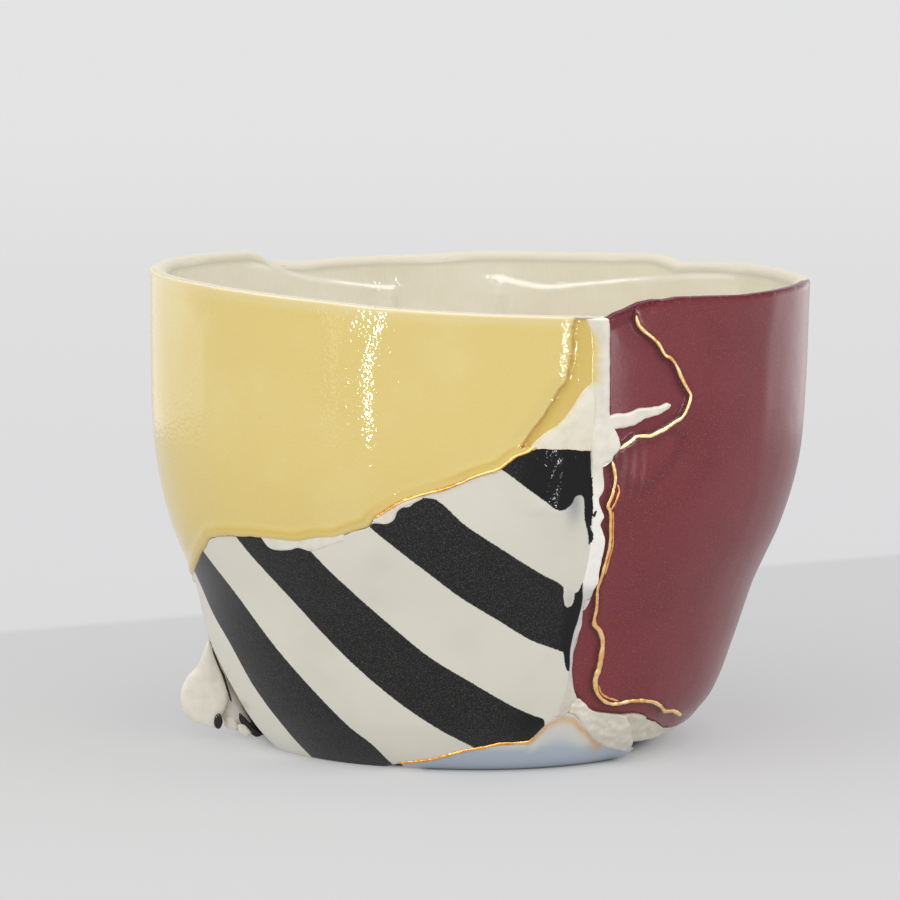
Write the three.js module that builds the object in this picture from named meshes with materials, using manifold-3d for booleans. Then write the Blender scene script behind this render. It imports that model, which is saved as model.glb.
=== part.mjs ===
// A porcelain coffee cup made of broken coloured pieces. The pieces lie round a cast ivory cup, whose clay has
// come out through the joins as ribs, fills and lumps, and gold lines run along the broken edges.
// Millimetres, +Z up, the origin below the middle of the cup on the surface that it stands on. Places on the
// wall are [angle, height]: the angle is in degrees round the cup, 0 at the right (+X), -90 at the front (-Y),
// -180 at the left and -270 at the back.
import * as THREE from 'three';
import { mergeVertices } from 'three/addons/utils/BufferGeometryUtils.js';
import Module from 'manifold-3d';

const wasm = await Module();
wasm.setup();

// Driving sizes
const RIM_HEIGHT = 62;
const SHARD_THICKNESS = 1.4;
const SHARD_THICKNESS_AT_RIM = 1.0;
const WALL_THICKNESS = 3.1;
const WALL_THICKNESS_AT_RIM = 2.3;
const THIN_FROM = 44;
const GAP = 0.3;
const LINING_GAP = 0.45;
const SEAM_GAP = 0.3;
const EDGE_DROP = 0.4;
const EDGE_WIDTH = 0.9;
const FOOT_THICKNESS = 1.9;
const FLOOR_UNDERSIDE = FOOT_THICKNESS + GAP;
const FLOOR_TOP = 4.8;
const RECESS_DEPTH = 0.55;
const RIB_HEIGHT = 0.35;
const SLIVER_HEIGHT = 0.55;
const ROOT_DEPTH = 2.3;
const GOLD_RADIUS = 0.32;
const GOLD_LIFT = 0.35;
const MM_PER_DEGREE = 0.75;
const LINING_SEGMENTS = 44;
const FULL_HEIGHT_CROWDING = 1.3;

// Outer profiles, as [height, radius] stations, at the right, at the left, and at the front and back
const PROFILE_RIGHT = [[0, 25], [1.5, 27], [3.5, 28.9], [7, 31.7], [14, 34.4], [22, 37.1], [30, 40.7],
  [38, 43], [46, 43.8], [RIM_HEIGHT, 44.4]];
const PROFILE_LEFT = [[0, 30], [1.5, 31.1], [3.5, 32.4], [7, 34], [14, 36.9], [22, 38.8], [30, 42],
  [38, 43.8], [46, 44.4], [RIM_HEIGHT, 44.5]];
const PROFILE_FRONT = [[0, 26.8], [1.5, 28.6], [3.5, 30.4], [7, 32.9], [14, 35.8], [22, 38.6], [30, 41.8],
  [38, 43.8], [46, 44.5], [RIM_HEIGHT, 44.8]];

// The rim's height round the cup, as [angle, height]. It drops at the back, where two pieces meet unevenly
const BACK_NOTCH = -229;
const RIM_STATIONS = [[-330, 62.3], [-300, 61.9], [-270, 62.2], [-245, 61.8], [BACK_NOTCH - 1, 61.8],
  [BACK_NOTCH + 1, 63.9], [-205, 63.7], [-158, 64], [-121, 63.1], [-95, 62.1], [-72, 61.3], [-66, 61.4],
  [-61, 62.6], [-45, 62.6], [0, 62.3], [30, 62.3]];

// Broken edges that two pieces share
const YELLOW_BACK_EDGE = [[BACK_NOTCH, 33], [-215, 30], [-200, 25], [-185, 21.5], [-172, 22.5]];
const YELLOW_LIP = [[-158, 26], [-148, 30], [-143.5, 32.5], [-134, 33], [-122, 32.5], [-111, 34.2],
  [-106, 36.8], [-98, 39.2], [-90, 41.5], [-84, 44]];
const YELLOW_RIGHT_EDGE = [[-82, 44.8], [-78, 48], [-75, 50.7], [-72, 52.4], [-71.8, 58], [-72.5, 61.3]];
const FOOT_EDGE = [[-108, 1.2], [-99, 2.3], [-90, 3.6], [-79, 4.5], [-75, 6.8], [-72.7, 8.2]];
const SEAM_LEFT_EDGE = [[-72.7, 9.5], [-71.7, 15], [-72, 18.5], [-71, 24], [-71, 31], [-71.7, 40],
  [-71.8, 61.3]];
const SEAM_RIGHT_EDGE = [[-70, 10.5], [-71, 16], [-70.3, 22.5], [-68.3, 28], [-68.2, 32], [-69.8, 37.6],
  [-69.5, 42], [-67.8, 43.2], [-66.8, 45], [-68.4, 48], [-68.8, 61.3]];
const BURGUNDY_BOTTOM = [[-70, 10.5], [-65, 8.7], [-58, 7.8], [-50, 7.2], [-44, 5.8], [-36, 4.2], [-27, 3.2],
  [0, 3], [46, 3.2]];
const BURGUNDY_BACK_EDGE = [[46, 3.2], [43, 11], [40, 20], [37.5, 31], [36, 40], [30, 62.3]];
const STRIPED_LEFT_EDGE = [[-172, 0], [-174, 8], [-173.5, 15], [-172, 22.5]];
const BLACK_BACK_EDGE = [[-246, 0.4], [-243, 12], [-238, 23], [-230, 32.6]];
const BACK_SEAM = [[-268, 0], [-262, 22], [-266, 42], [-263, 62]];

// Gold lines on the burgundy piece, which are also the edges of its hollows
const GOLD_LOOP = [[-66.6, 44.2], [-64.5, 45.2], [-61, 45.6], [-57.5, 46.6], [-55, 47.3], [-53.3, 49.3],
  [-53, 50.5], [-55, 52.8], [-57, 55.3], [-60.5, 58], [-63.6, 60], [-64.2, 61.2]];
const GOLD_LONG = [[-68, 42.4], [-67.3, 40], [-68.3, 36.8], [-67.2, 32.5], [-68, 25.5], [-67.5, 21],
  [-65.3, 18.5], [-65, 14], [-64.2, 11], [-61, 9.5], [-54.5, 9.3], [-46, 8.4], [-41, 6.9], [-31, 5.4]];

// Pockets in the upper edge of the striped piece, which clay fills, as their lower and upper edges
const POCKETS = [
  [[[-132, 31.4], [-130, 29.9], [-123, 30.3], [-117, 31.4]], [[-132, 32.8], [-117, 32.9]]],
  [[[-108.4, 34.4], [-106.7, 34.2], [-104.6, 35.4], [-99.5, 37.3]], [[-108.4, 35], [-104, 37], [-99.5, 38.4]]],
];

const degrees = THREE.MathUtils.degToRad;
const { lerp, smoothstep, clamp } = THREE.MathUtils;

/** Value at a place on a smooth curve through [place, value] stations in rising order. */
function valueAt(stations, place) {
  const last = stations.length - 1;
  if (place <= stations[0][0]) return stations[0][1];
  if (place >= stations[last][0]) return stations[last][1];
  const i = stations.findIndex(([p]) => p > place) - 1;
  const slope = (j) => {
    const a = stations[Math.max(j - 1, 0)];
    const b = stations[Math.min(j + 1, last)];
    return (b[1] - a[1]) / (b[0] - a[0]);
  };
  const [p0, v0] = stations[i];
  const [p1, v1] = stations[i + 1];
  const step = p1 - p0;
  const t = (place - p0) / step;
  const t2 = t * t;
  const t3 = t2 * t;
  return (2 * t3 - 3 * t2 + 1) * v0 + (t3 - 2 * t2 + t) * step * slope(i)
    + (3 * t2 - 2 * t3) * v1 + (t3 - t2) * step * slope(i + 1);
}

/** Outer radius of the cup at an angle and height. */
function wallRadius(angle, height) {
  const toSide = Math.cos(degrees(angle));
  const side = valueAt(toSide > 0 ? PROFILE_RIGHT : PROFILE_LEFT, height);
  return lerp(valueAt(PROFILE_FRONT, height), side, toSide * toSide);
}

/** Height of the rim at an angle, on straight lines between the stations. */
function rimHeight(angle) {
  const turned = angle > 30 ? angle - 360 : angle;
  const next = RIM_STATIONS.findIndex(([a]) => a > turned);
  if (next < 0) return RIM_STATIONS.at(-1)[1];
  const [a0, h0] = RIM_STATIONS[Math.max(next - 1, 0)];
  const [a1, h1] = RIM_STATIONS[next];
  return lerp(h0, h1, clamp((turned - a0) / Math.max(a1 - a0, 1e-6), 0, 1));
}

/** How far the wall has thinned towards the rim, from 0 to 1. */
const thinning = (height) => smoothstep(height, THIN_FROM, RIM_HEIGHT);
const shardThickness = (height) => lerp(SHARD_THICKNESS, SHARD_THICKNESS_AT_RIM, thinning(height));
const wallThickness = (height) => lerp(WALL_THICKNESS, WALL_THICKNESS_AT_RIM, thinning(height));

/** Point at an angle and height, a little outside (positive) or inside the cup's outer surface. */
function wallPoint(angle, height, offset) {
  const radius = wallRadius(angle, height) + offset;
  return new THREE.Vector3(
    radius * Math.cos(degrees(angle)), radius * Math.sin(degrees(angle)), height);
}

/** The rim from one angle to another, a little below its crest. */
function rimEdge(from, to, below = 0.25) {
  const steps = Math.max(2, Math.round(Math.abs(to - from) / 8));
  return Array.from({ length: steps + 1 }, (_, i) => {
    const angle = lerp(from, to, i / steps);
    return [angle, rimHeight(angle) - below];
  });
}

/** Closed solid of a geometry, with its doubled vertices merged and its empty triangles left out. */
function toSolid(geometry) {
  const bare = geometry.clone();
  for (const name of Object.keys(bare.attributes)) {
    if (name !== 'position') bare.deleteAttribute(name);
  }
  const merged = mergeVertices(bare, 1e-4);
  const corners = merged.index.array;
  const triangles = [];
  for (let i = 0; i < corners.length; i += 3) {
    const [a, b, c] = [corners[i], corners[i + 1], corners[i + 2]];
    if (a !== b && b !== c && c !== a) triangles.push(a, b, c);
  }
  return new wasm.Manifold(new wasm.Mesh({
    numProp: 3,
    vertProperties: new Float32Array(merged.attributes.position.array),
    triVerts: new Uint32Array(triangles),
  }));
}

/** Geometry of a solid. */
function toGeometry(solid) {
  const mesh = solid.getMesh();
  const geometry = new THREE.BufferGeometry();
  geometry.setAttribute('position', new THREE.BufferAttribute(mesh.vertProperties, 3));
  geometry.setIndex(new THREE.BufferAttribute(mesh.triVerts, 1));
  geometry.computeVertexNormals();
  return geometry;
}

const curveOf = (points) => new THREE.SplineCurve(points.map(([a, h]) => new THREE.Vector2(a, h)));

/**
 * Steps from 0 to 1, with one narrow step at each end for the softened edge of a piece. Crowding over 1 draws
 * them together towards 0.
 */
function stepPlaces(count, edge, crowding = 1) {
  return Array.from({ length: count + 1 }, (_, i) => {
    if (i === 0 || i === count || count < 3) return i / count;
    return lerp(edge, 1 - edge, ((i - 1) / (count - 2)) ** crowding);
  });
}

/**
 * Piece of the wall between four edges, as a solid. A box is bent: its width and height follow the edges and its
 * depth runs from the inner to the outer offset. Its outer rim is softened by EDGE_DROP, and it stays `gap`
 * inside its edges.
 */
function wallPiece({ bottom, top, left, right, columns, rows, crowding = 1, outer = () => 0, inner,
  gap = SEAM_GAP, drop = EDGE_DROP }) {
  const sides = { bottom: curveOf(bottom), top: curveOf(top), left: curveOf(left), right: curveOf(right) };
  const width = 0.5 * MM_PER_DEGREE * (bottom.at(-1)[0] - bottom[0][0] + top.at(-1)[0] - top[0][0]);
  const height = 0.5 * (left.at(-1)[1] - left[0][1] + right.at(-1)[1] - right[0][1]);
  const acrossGap = gap / width;
  const upGap = gap / height;
  const across = stepPlaces(columns, EDGE_WIDTH / width);
  const up = stepPlaces(rows, EDGE_WIDTH / height, crowding);
  const box = new THREE.BoxGeometry(1, 1, 1, columns, rows, 1);
  const position = box.attributes.position;
  for (let i = 0; i < position.count; i += 1) {
    const column = Math.round((position.getX(i) + 0.5) * columns);
    const row = Math.round((position.getY(i) + 0.5) * rows);
    const u = lerp(acrossGap, 1 - acrossGap, across[column]);
    const v = lerp(upGap, 1 - upGap, up[row]);
    const [low, high] = [sides.bottom.getPointAt(u), sides.top.getPointAt(u)];
    const [start, end] = [sides.left.getPointAt(v), sides.right.getPointAt(v)];
    const place = [0, 1].map((axis) => {
      const bilinear = lerp(
        lerp(bottom[0][axis], bottom.at(-1)[axis], u), lerp(top[0][axis], top.at(-1)[axis], u), v);
      return lerp(low.getComponent(axis), high.getComponent(axis), v)
        + lerp(start.getComponent(axis), end.getComponent(axis), u) - bilinear;
    });
    const onEdge = column === 0 || column === columns || row === 0 || row === rows;
    const offset = position.getZ(i) > 0
      ? outer(place[0], place[1]) - (onEdge ? drop : 0)
      : inner(place[0], place[1]);
    position.setXYZ(i, ...wallPoint(place[0], place[1], offset).toArray());
  }
  return toSolid(box);
}

const insideOfShard = (angle, height) => -shardThickness(height);

/** Broken piece of the outer wall between four edges. */
const shard = (edges) => wallPiece({ ...edges, inner: insideOfShard });

/** Clay that stands out of a join, rooted in the lining. */
function slip(edges, proud, drop = EDGE_DROP) {
  return wallPiece({ ...edges, outer: proud, inner: () => -ROOT_DEPTH, gap: edges.gap ?? SEAM_GAP, drop });
}

/** Solid to cut a hollow in a piece's face, as deep as RECESS_DEPTH. */
const hollow = (edges) => wallPiece({ ...edges, outer: () => 3, inner: () => -RECESS_DEPTH, gap: 0, drop: 0 });

/** Turned solid from a [radius, height] profile, pressed out of round to follow the cup's own wall. */
function turned(profile) {
  const points = profile.map(([r, h]) => new THREE.Vector2(r, h));
  const lathe = new THREE.LatheGeometry(points, LINING_SEGMENTS).rotateX(Math.PI / 2);
  const position = lathe.attributes.position;
  for (let i = 0; i < position.count; i += 1) {
    const [x, y, z] = [position.getX(i), position.getY(i), position.getZ(i)];
    const radius = Math.hypot(x, y);
    if (radius < 1e-6) continue;
    const turn = THREE.MathUtils.radToDeg(Math.atan2(y, x));
    const angle = turn > 30 ? turn - 360 : turn;
    const height = z + (rimHeight(angle) - RIM_HEIGHT) * thinning(z);
    const pressed = wallRadius(angle, height) - valueAt(PROFILE_FRONT, z);
    const nearWall = clamp(radius / (0.75 * valueAt(PROFILE_FRONT, z)), 0, 1);
    const moved = radius + pressed * nearWall;
    position.setXYZ(i, (x / radius) * moved, (y / radius) * moved, height);
  }
  return toSolid(lathe);
}

/** Edges of a pocket between its lower and upper edge. */
const pocket = (bottom, top) => ({
  bottom,
  top,
  left: [bottom[0], top[0]],
  right: [bottom.at(-1), top.at(-1)],
  columns: 5,
  rows: 3,
});

/** Lining: the cast ivory cup with a rounded lip and a soft corner between wall and floor. */
function castCup() {
  const outside = [FLOOR_UNDERSIDE, 4, 7, 14, 22, 30, 38, 47, 61];
  const inside = [61, 47, 38, 30, 22, 14];
  const front = (height) => valueAt(PROFILE_FRONT, height);
  const crest = front(RIM_HEIGHT) - lerp(WALL_THICKNESS_AT_RIM, SHARD_THICKNESS_AT_RIM + LINING_GAP, 0.5);
  const corner = [[4.2, 8.8], [6.3, 6.6], [10, 5.3], [15, FLOOR_TOP]];
  return turned([
    [0, FLOOR_UNDERSIDE],
    ...outside.map((h) => [front(h) - shardThickness(h) - LINING_GAP, h]),
    [crest, RIM_HEIGHT],
    ...inside.map((h) => [front(h) - wallThickness(h), h]),
    ...corner.map(([inset, h]) => [front(h) - inset, h]),
    [0, FLOOR_TOP],
  ]);
}

/** Lining with all the clay that came out of the joins. */
function porcelainLining() {
  const seam = slip({
    bottom: [SEAM_LEFT_EDGE[0], SEAM_RIGHT_EDGE[0]],
    top: [SEAM_LEFT_EDGE.at(-1), SEAM_RIGHT_EDGE.at(-1)],
    left: SEAM_LEFT_EDGE,
    right: SEAM_RIGHT_EDGE,
    columns: 3,
    rows: 16,
    crowding: FULL_HEIGHT_CROWDING,
  }, () => RIB_HEIGHT);
  const fill = slip({
    bottom: [[-81.2, 45], [-76, 44.8], [-71, 44.6]],
    top: [[-81, 45.6], [-75, 50.4], [-71, 52.2]],
    left: [[-81.2, 45], [-81, 45.6]],
    right: [[-71, 44.6], [-71, 52.2]],
    columns: 6,
    rows: 4,
    gap: 0.15,
  }, () => -0.1, 0.1);
  const sliver = wallPiece({
    bottom: [[-70.5, 46.8], [-63, 47.4], [-57.3, 48.9]],
    top: [[-70.5, 48.4], [-63, 49.2], [-57.3, 49.6]],
    left: [[-70.5, 46.8], [-70.5, 48.4]],
    right: [[-57.3, 48.9], [-57.3, 49.6]],
    columns: 8,
    rows: 3,
    outer: () => SLIVER_HEIGHT,
    inner: () => GAP - RECESS_DEPTH,
    gap: 0,
    drop: 0.3,
  });
  const lump = slip({
    bottom: [[-70.5, 8.6], [-64, 5.9], [-56, 3.4], [-50, 2.4], [-42, 2.6], [-28, 2.4]],
    top: [[-70.5, 10.2], [-64, 8.3], [-56, 7.5], [-50, 6.9], [-42, 5.2], [-28, 3]],
    left: [[-70.5, 8.6], [-70.5, 10.2]],
    right: [[-28, 2.4], [-28, 3]],
    columns: 14,
    rows: 4,
  }, (angle) => 0.9 * smoothstep(angle, -70, -58) * (1 - smoothstep(angle, -40, -28)), 0.5);
  const flap = slip({
    bottom: [[-178.5, 1.2], [-174.6, 1.2]],
    top: [[-175.6, 20], [-174.4, 20]],
    left: [[-178.5, 1.2], [-179.5, 5], [-178.5, 9], [-176.4, 14], [-175.6, 20]],
    right: [[-174.6, 1.2], [-175, 8], [-174.6, 15], [-174.4, 20]],
    columns: 4,
    rows: 12,
    gap: 0,
  }, (angle, height) => valueAt([[1, 4.6], [3, 7.2], [6, 6.6], [9, 3.6], [13, 0.4], [20, -0.2]], height), 0.8);
  const pocketFills = POCKETS.map(([bottom, top]) => slip(pocket(bottom, top), () => -0.3, 0.2));
  return [seam, fill, sliver, lump, flap, ...pocketFills].reduce((cup, piece) => cup.add(piece), castCup());
}

/** Yellow piece, with the lower step that runs down beside the seam. */
function yellowShard() {
  const piece = shard({
    bottom: [...YELLOW_BACK_EDGE, ...YELLOW_LIP, YELLOW_RIGHT_EDGE[0]],
    top: rimEdge(BACK_NOTCH, YELLOW_RIGHT_EDGE.at(-1)[0]),
    left: [YELLOW_BACK_EDGE[0], rimEdge(BACK_NOTCH, 0)[0]],
    right: YELLOW_RIGHT_EDGE.with(-1, rimEdge(BACK_NOTCH, YELLOW_RIGHT_EDGE.at(-1)[0]).at(-1)),
    columns: 32,
    rows: 8,
  });
  const step = hollow({
    bottom: [[-82.8, 45.5], [-80, 44.5]],
    top: [[-74.8, 63], [-70, 63]],
    left: [[-82.8, 45.5], [-81.4, 48.3], [-78.4, 51], [-75.6, 53.4], [-74.9, 57], [-74.8, 63]],
    right: [[-80, 44.5], [-74, 49], [-70, 52], [-70, 63]],
    columns: 3,
    rows: 10,
  });
  return piece.subtract(step);
}

/** Striped piece at the front, with the pockets in its upper edge cut away. */
function stripedShard() {
  const piece = shard({
    bottom: [STRIPED_LEFT_EDGE[0], [-116, 0], ...FOOT_EDGE],
    top: [STRIPED_LEFT_EDGE.at(-1), ...YELLOW_LIP, [-81.5, 44.4], [-71.8, 44.2]],
    left: STRIPED_LEFT_EDGE,
    right: [FOOT_EDGE.at(-1), ...SEAM_LEFT_EDGE.slice(0, 6), [-71.8, 44.2]],
    columns: 28,
    rows: 8,
  });
  const cuts = POCKETS.map(([bottom, top]) => wallPiece({
    ...pocket(bottom, top.map(([angle, height]) => [angle, height + 1.5])),
    outer: () => 3,
    inner: () => -3,
    gap: 0,
    drop: 0,
  }));
  return cuts.reduce((rest, cut) => rest.subtract(cut), piece);
}

/** Burgundy piece, with one hollow inside the gold loop and one beside and below the long gold line. */
function burgundyShard() {
  const rim = rimEdge(SEAM_RIGHT_EDGE.at(-1)[0], BURGUNDY_BACK_EDGE.at(-1)[0]);
  const piece = shard({
    bottom: BURGUNDY_BOTTOM,
    top: rim,
    left: SEAM_RIGHT_EDGE.with(-1, rim[0]),
    right: BURGUNDY_BACK_EDGE.with(-1, rim.at(-1)),
    columns: 20,
    rows: 16,
    crowding: FULL_HEIGHT_CROWDING,
  });
  const oval = hollow({
    bottom: [[-72, 44], GOLD_LOOP[0]],
    top: [[-72, 63.5], [-64.4, 63.5]],
    left: [[-72, 44], [-72, 63.5]],
    right: [...GOLD_LOOP, [-64.4, 63.5]],
    columns: 2,
    rows: 14,
  });
  const strip = hollow({
    bottom: [[-73, 7], [-61.5, 6]],
    top: [[-72, 42.4], GOLD_LONG[0]],
    left: [[-73, 7], [-72, 42.4]],
    right: [[-61.5, 6], [-62.5, 9.5], ...GOLD_LONG.slice(0, 9).reverse()],
    columns: 2,
    rows: 12,
  });
  const ledge = hollow({
    bottom: [[-64.5, 6], [-45, 4], [-31, 2.5]],
    top: [[-64, 10.4], ...GOLD_LONG.slice(9)],
    left: [[-64.5, 6], [-64, 10.4]],
    right: [[-31, 2.5], GOLD_LONG.at(-1)],
    columns: 10,
    rows: 2,
  });
  return piece.subtract(oval).subtract(strip).subtract(ledge);
}

/** Black piece low at the back left. */
const blackShard = () => shard({
  bottom: [BLACK_BACK_EDGE[0], [-210, 0.4], [-180.6, 0.4]],
  top: [BLACK_BACK_EDGE.at(-1), ...YELLOW_BACK_EDGE.slice(1, 4), [-177, 21.4]],
  left: BLACK_BACK_EDGE,
  right: [[-180.6, 0.4], [-180.8, 5], [-180, 10], [-178, 15], [-177, 21.4]],
  columns: 12,
  rows: 8,
  crowding: FULL_HEIGHT_CROWDING,
});

/** Pale blue piece at the back left. */
const paleBlueShard = () => shard({
  bottom: [BACK_SEAM[0], [-257, 0], BLACK_BACK_EDGE[0]],
  top: rimEdge(BACK_SEAM.at(-1)[0], BACK_NOTCH - 1.2),
  left: BACK_SEAM.with(-1, rimEdge(BACK_SEAM.at(-1)[0], 0)[0]),
  right: [...BLACK_BACK_EDGE, [BACK_NOTCH - 1.2, 47], [BACK_NOTCH - 1.2, 61.55]],
  columns: 6,
  rows: 13,
  crowding: FULL_HEIGHT_CROWDING,
});

/** Striped piece at the back, down to the foot. */
const stripedBackShard = () => shard({
  bottom: [[-314, 0], [-290, 0], BACK_SEAM[0]],
  top: rimEdge(-330, BACK_SEAM.at(-1)[0]),
  left: [[-314, 0], ...BURGUNDY_BACK_EDGE.map(([a, h]) => [a - 360, h])].with(-1, rimEdge(-330, -329)[0]),
  right: BACK_SEAM.with(-1, rimEdge(-330, BACK_SEAM.at(-1)[0]).at(-1)),
  columns: 11,
  rows: 13,
  crowding: FULL_HEIGHT_CROWDING,
});

/** Pale blue foot: a flat disc under the floor, and its edge that rises at the front below the stripes. */
function paleBlueFoot() {
  const [from, to] = [FOOT_EDGE[0][0], -47];
  const rim = Array.from({ length: LINING_SEGMENTS }, (_, i) => {
    const angle = -330 + (360 * i) / LINING_SEGMENTS;
    const inFront = angle > from + 2 && angle < to - 2;
    const radius = wallRadius(angle, 0) - (inFront ? 0.3 : SHARD_THICKNESS + GAP);
    return new THREE.Vector2(radius, 0).rotateAround(new THREE.Vector2(), degrees(angle));
  });
  const disc = new THREE.ExtrudeGeometry(new THREE.Shape(rim), { depth: FOOT_THICKNESS, bevelEnabled: false });
  const upstand = shard({
    bottom: [[from, 0], [to, 0]],
    top: [...FOOT_EDGE.slice(0, -1), [-71.3, 8.2], [-69.5, 7.8], [-64, 5.3], [-56, 3], [to, 2]],
    left: [[from, 0], FOOT_EDGE[0]],
    right: [[to, 0], [to, 2]],
    columns: 16,
    rows: 3,
  });
  return toSolid(disc).add(upstand);
}

/** Gold line along points on the wall: a thin bead that stands just clear of the pieces. */
function goldLine(places) {
  const route = curveOf(places).getSpacedPoints(4 * places.length);
  const along = new THREE.CatmullRomCurve3(route.map(({ x, y }) => wallPoint(x, y, GOLD_LIFT + GOLD_RADIUS)));
  const section = new THREE.Shape();
  section.absarc(0, 0, GOLD_RADIUS, 0, 2 * Math.PI);
  const bead = new THREE.ExtrudeGeometry(section, {
    steps: Math.round(along.getLength() / 2), extrudePath: along, curveSegments: 3, bevelEnabled: false,
  });
  return toSolid(bead);
}

const FINISHES = {
  ivory: { color: 0xe9e3d2, roughness: 0.4, metalness: 0 },
  yellow: { color: 0xe6cf80, roughness: 0.15, metalness: 0 },
  stripes: { color: 0x3a3839, roughness: 0.35, metalness: 0 },
  burgundy: { color: 0x6e3338, roughness: 0.15, metalness: 0 },
  paleBlue: { color: 0xa3b2c6, roughness: 0.2, metalness: 0 },
  black: { color: 0x1d1b1c, roughness: 0.1, metalness: 0 },
  gold: { color: 0xe3b062, roughness: 0.25, metalness: 1 },
};

const PIECES = [
  ['porcelain_lining', porcelainLining(), FINISHES.ivory],
  ['yellow_shard', yellowShard(), FINISHES.yellow],
  ['striped_shard', stripedShard(), FINISHES.stripes],
  ['burgundy_shard', burgundyShard(), FINISHES.burgundy],
  ['pale_blue_foot', paleBlueFoot(), FINISHES.paleBlue],
  ['black_shard', blackShard(), FINISHES.black],
  ['pale_blue_shard', paleBlueShard(), FINISHES.paleBlue],
  ['striped_back_shard', stripedBackShard(), FINISHES.stripes],
  ['gold_line_yellow', goldLine([...YELLOW_LIP.slice(1), [-82, 44.9]]), FINISHES.gold],
  ['gold_line_loop', goldLine(GOLD_LOOP), FINISHES.gold],
  ['gold_line_burgundy', goldLine(GOLD_LONG), FINISHES.gold],
  ['gold_line_foot', goldLine([...FOOT_EDGE, [-70, 8.2], [-65, 5.9], [-57, 3.4]]), FINISHES.gold],
  ['gold_line_back', goldLine(BURGUNDY_BACK_EDGE), FINISHES.gold],
];

const group = new THREE.Group();
for (const [name, solid, finish] of PIECES) {
  const mesh = new THREE.Mesh(toGeometry(solid), new THREE.MeshStandardMaterial(finish));
  mesh.name = name;
  group.add(mesh);
}

export default group;
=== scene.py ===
"""Finish of a handleless coffee cup that is joined from porcelain shards and mended with gold lines.

The shards lie round a cast ivory cup, whose clay came out through the joins as ribs, fills and lumps.
Sizes are in millimetres. A place on the wall is (angle, height): the angle is in degrees round the cup,
0 at the right (+X), -90 at the front (-Y), -180 at the left and -270 at the back. A field gives one number
for each place, such as how far a face stands out there.
"""

import logging
import math
from dataclasses import dataclass, field
from enum import Enum
from typing import Callable, Sequence

import bpy
import numpy as np
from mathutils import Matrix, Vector, kdtree, noise


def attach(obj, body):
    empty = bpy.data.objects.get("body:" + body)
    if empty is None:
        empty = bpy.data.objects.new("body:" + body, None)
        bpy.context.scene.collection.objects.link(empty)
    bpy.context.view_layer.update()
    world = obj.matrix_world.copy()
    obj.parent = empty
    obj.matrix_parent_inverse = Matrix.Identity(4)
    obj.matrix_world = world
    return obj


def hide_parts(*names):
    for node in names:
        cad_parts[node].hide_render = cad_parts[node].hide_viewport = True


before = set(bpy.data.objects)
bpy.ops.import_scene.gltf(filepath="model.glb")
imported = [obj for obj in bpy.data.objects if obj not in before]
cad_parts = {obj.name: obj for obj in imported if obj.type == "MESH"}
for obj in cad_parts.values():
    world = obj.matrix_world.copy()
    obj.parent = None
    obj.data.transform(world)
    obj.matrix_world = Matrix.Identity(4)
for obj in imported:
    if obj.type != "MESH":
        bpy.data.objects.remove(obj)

log = logging.getLogger("cup")

Array = np.ndarray
Outline = Sequence[tuple[float, float]]
Colour = tuple[float, float, float]
Triple = tuple[float, float, float]
Field = Callable[[Array, Array], Array]

MM = 0.001
MM_PER_DEGREE = 0.75
BODY = "root"

# Driving sizes, as in the solids
RIM_HEIGHT = 62.0
SHARD_THICKNESS = 1.4
SHARD_THICKNESS_AT_RIM = 1.0
LINING_INSET = 1.5
WALL_THICKNESS = 3.1
WALL_THICKNESS_AT_RIM = 2.3
THIN_FROM = 44.0
FLOOR_UNDERSIDE = 2.2
FLOOR_TOP = 4.8
FOOT_THICKNESS = 1.9
ROOT_DEPTH = 2.3
RECESS_DEPTH = 0.55

# The rim's height round the cup, as (angle, height). It steps down at the back left
RIM_STATIONS = [
    (-330, 62.4), (-316, 62.0), (-311, 61.7), (-307, 62.5), (-305, 62.7), (-285, 62.4), (-270, 62.4),
    (-261, 62.0), (-243, 61.9), (-234, 61.6), (-226.5, 62.2), (-224, 63.2), (-220.5, 63.8), (-195, 64.1),
    (-158, 64.1), (-145, 64.0), (-134, 63.7), (-117.5, 63.1), (-106.8, 62.5), (-90.4, 61.9), (-72, 61.3),
    (-69, 61.0), (-65.9, 61.7), (-63.3, 62.5), (-60.5, 62.8), (-55.5, 63.2), (-48, 63.0), (-40, 62.7),
    (-24, 62.7), (-4, 62.7), (8, 62.4), (30, 62.4),
]

# Broken edges that two pieces share
BACK_CORNER = -229.0
YELLOW_BACK_EDGE = [(BACK_CORNER, 33), (-215, 30), (-200, 25), (-185, 21.5), (-172, 22.5)]
YELLOW_LIP = [
    (-168.4, 23.5), (-159.4, 25.7), (-155.3, 27.2), (-151.2, 28.7), (-148.6, 29.9), (-146.8, 30.3),
    (-143.5, 30.8), (-138.9, 31.1), (-132.2, 31.4), (-128, 31.4), (-123.6, 31.5), (-119.4, 32.2),
    (-116.3, 32.3), (-112.9, 33.3), (-109.8, 34.1), (-108.6, 35.2), (-106.5, 36.2), (-104.7, 37.1),
    (-103, 37.8), (-99.5, 38.7), (-96.2, 39.4), (-93.3, 40.3), (-91, 41.1), (-87.4, 42), (-85.6, 43),
    (-84.6, 43.6), (-82.3, 44.3),
]
FILL_TOP = [
    (-82, 44.9), (-79.5, 46.6), (-77.2, 47.6), (-74.9, 49.8), (-73.2, 51.7), (-71.7, 52.9),
]
YELLOW_CRACK = [
    (-83.5, 44.8), (-82.4, 46.2), (-80.5, 48), (-79.7, 48.9), (-78.4, 50.5), (-77.3, 52), (-76.1, 53),
    (-75.4, 55.8), (-75.1, 57.7), (-75, 59.6), (-74.5, 61.4),
]
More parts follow.
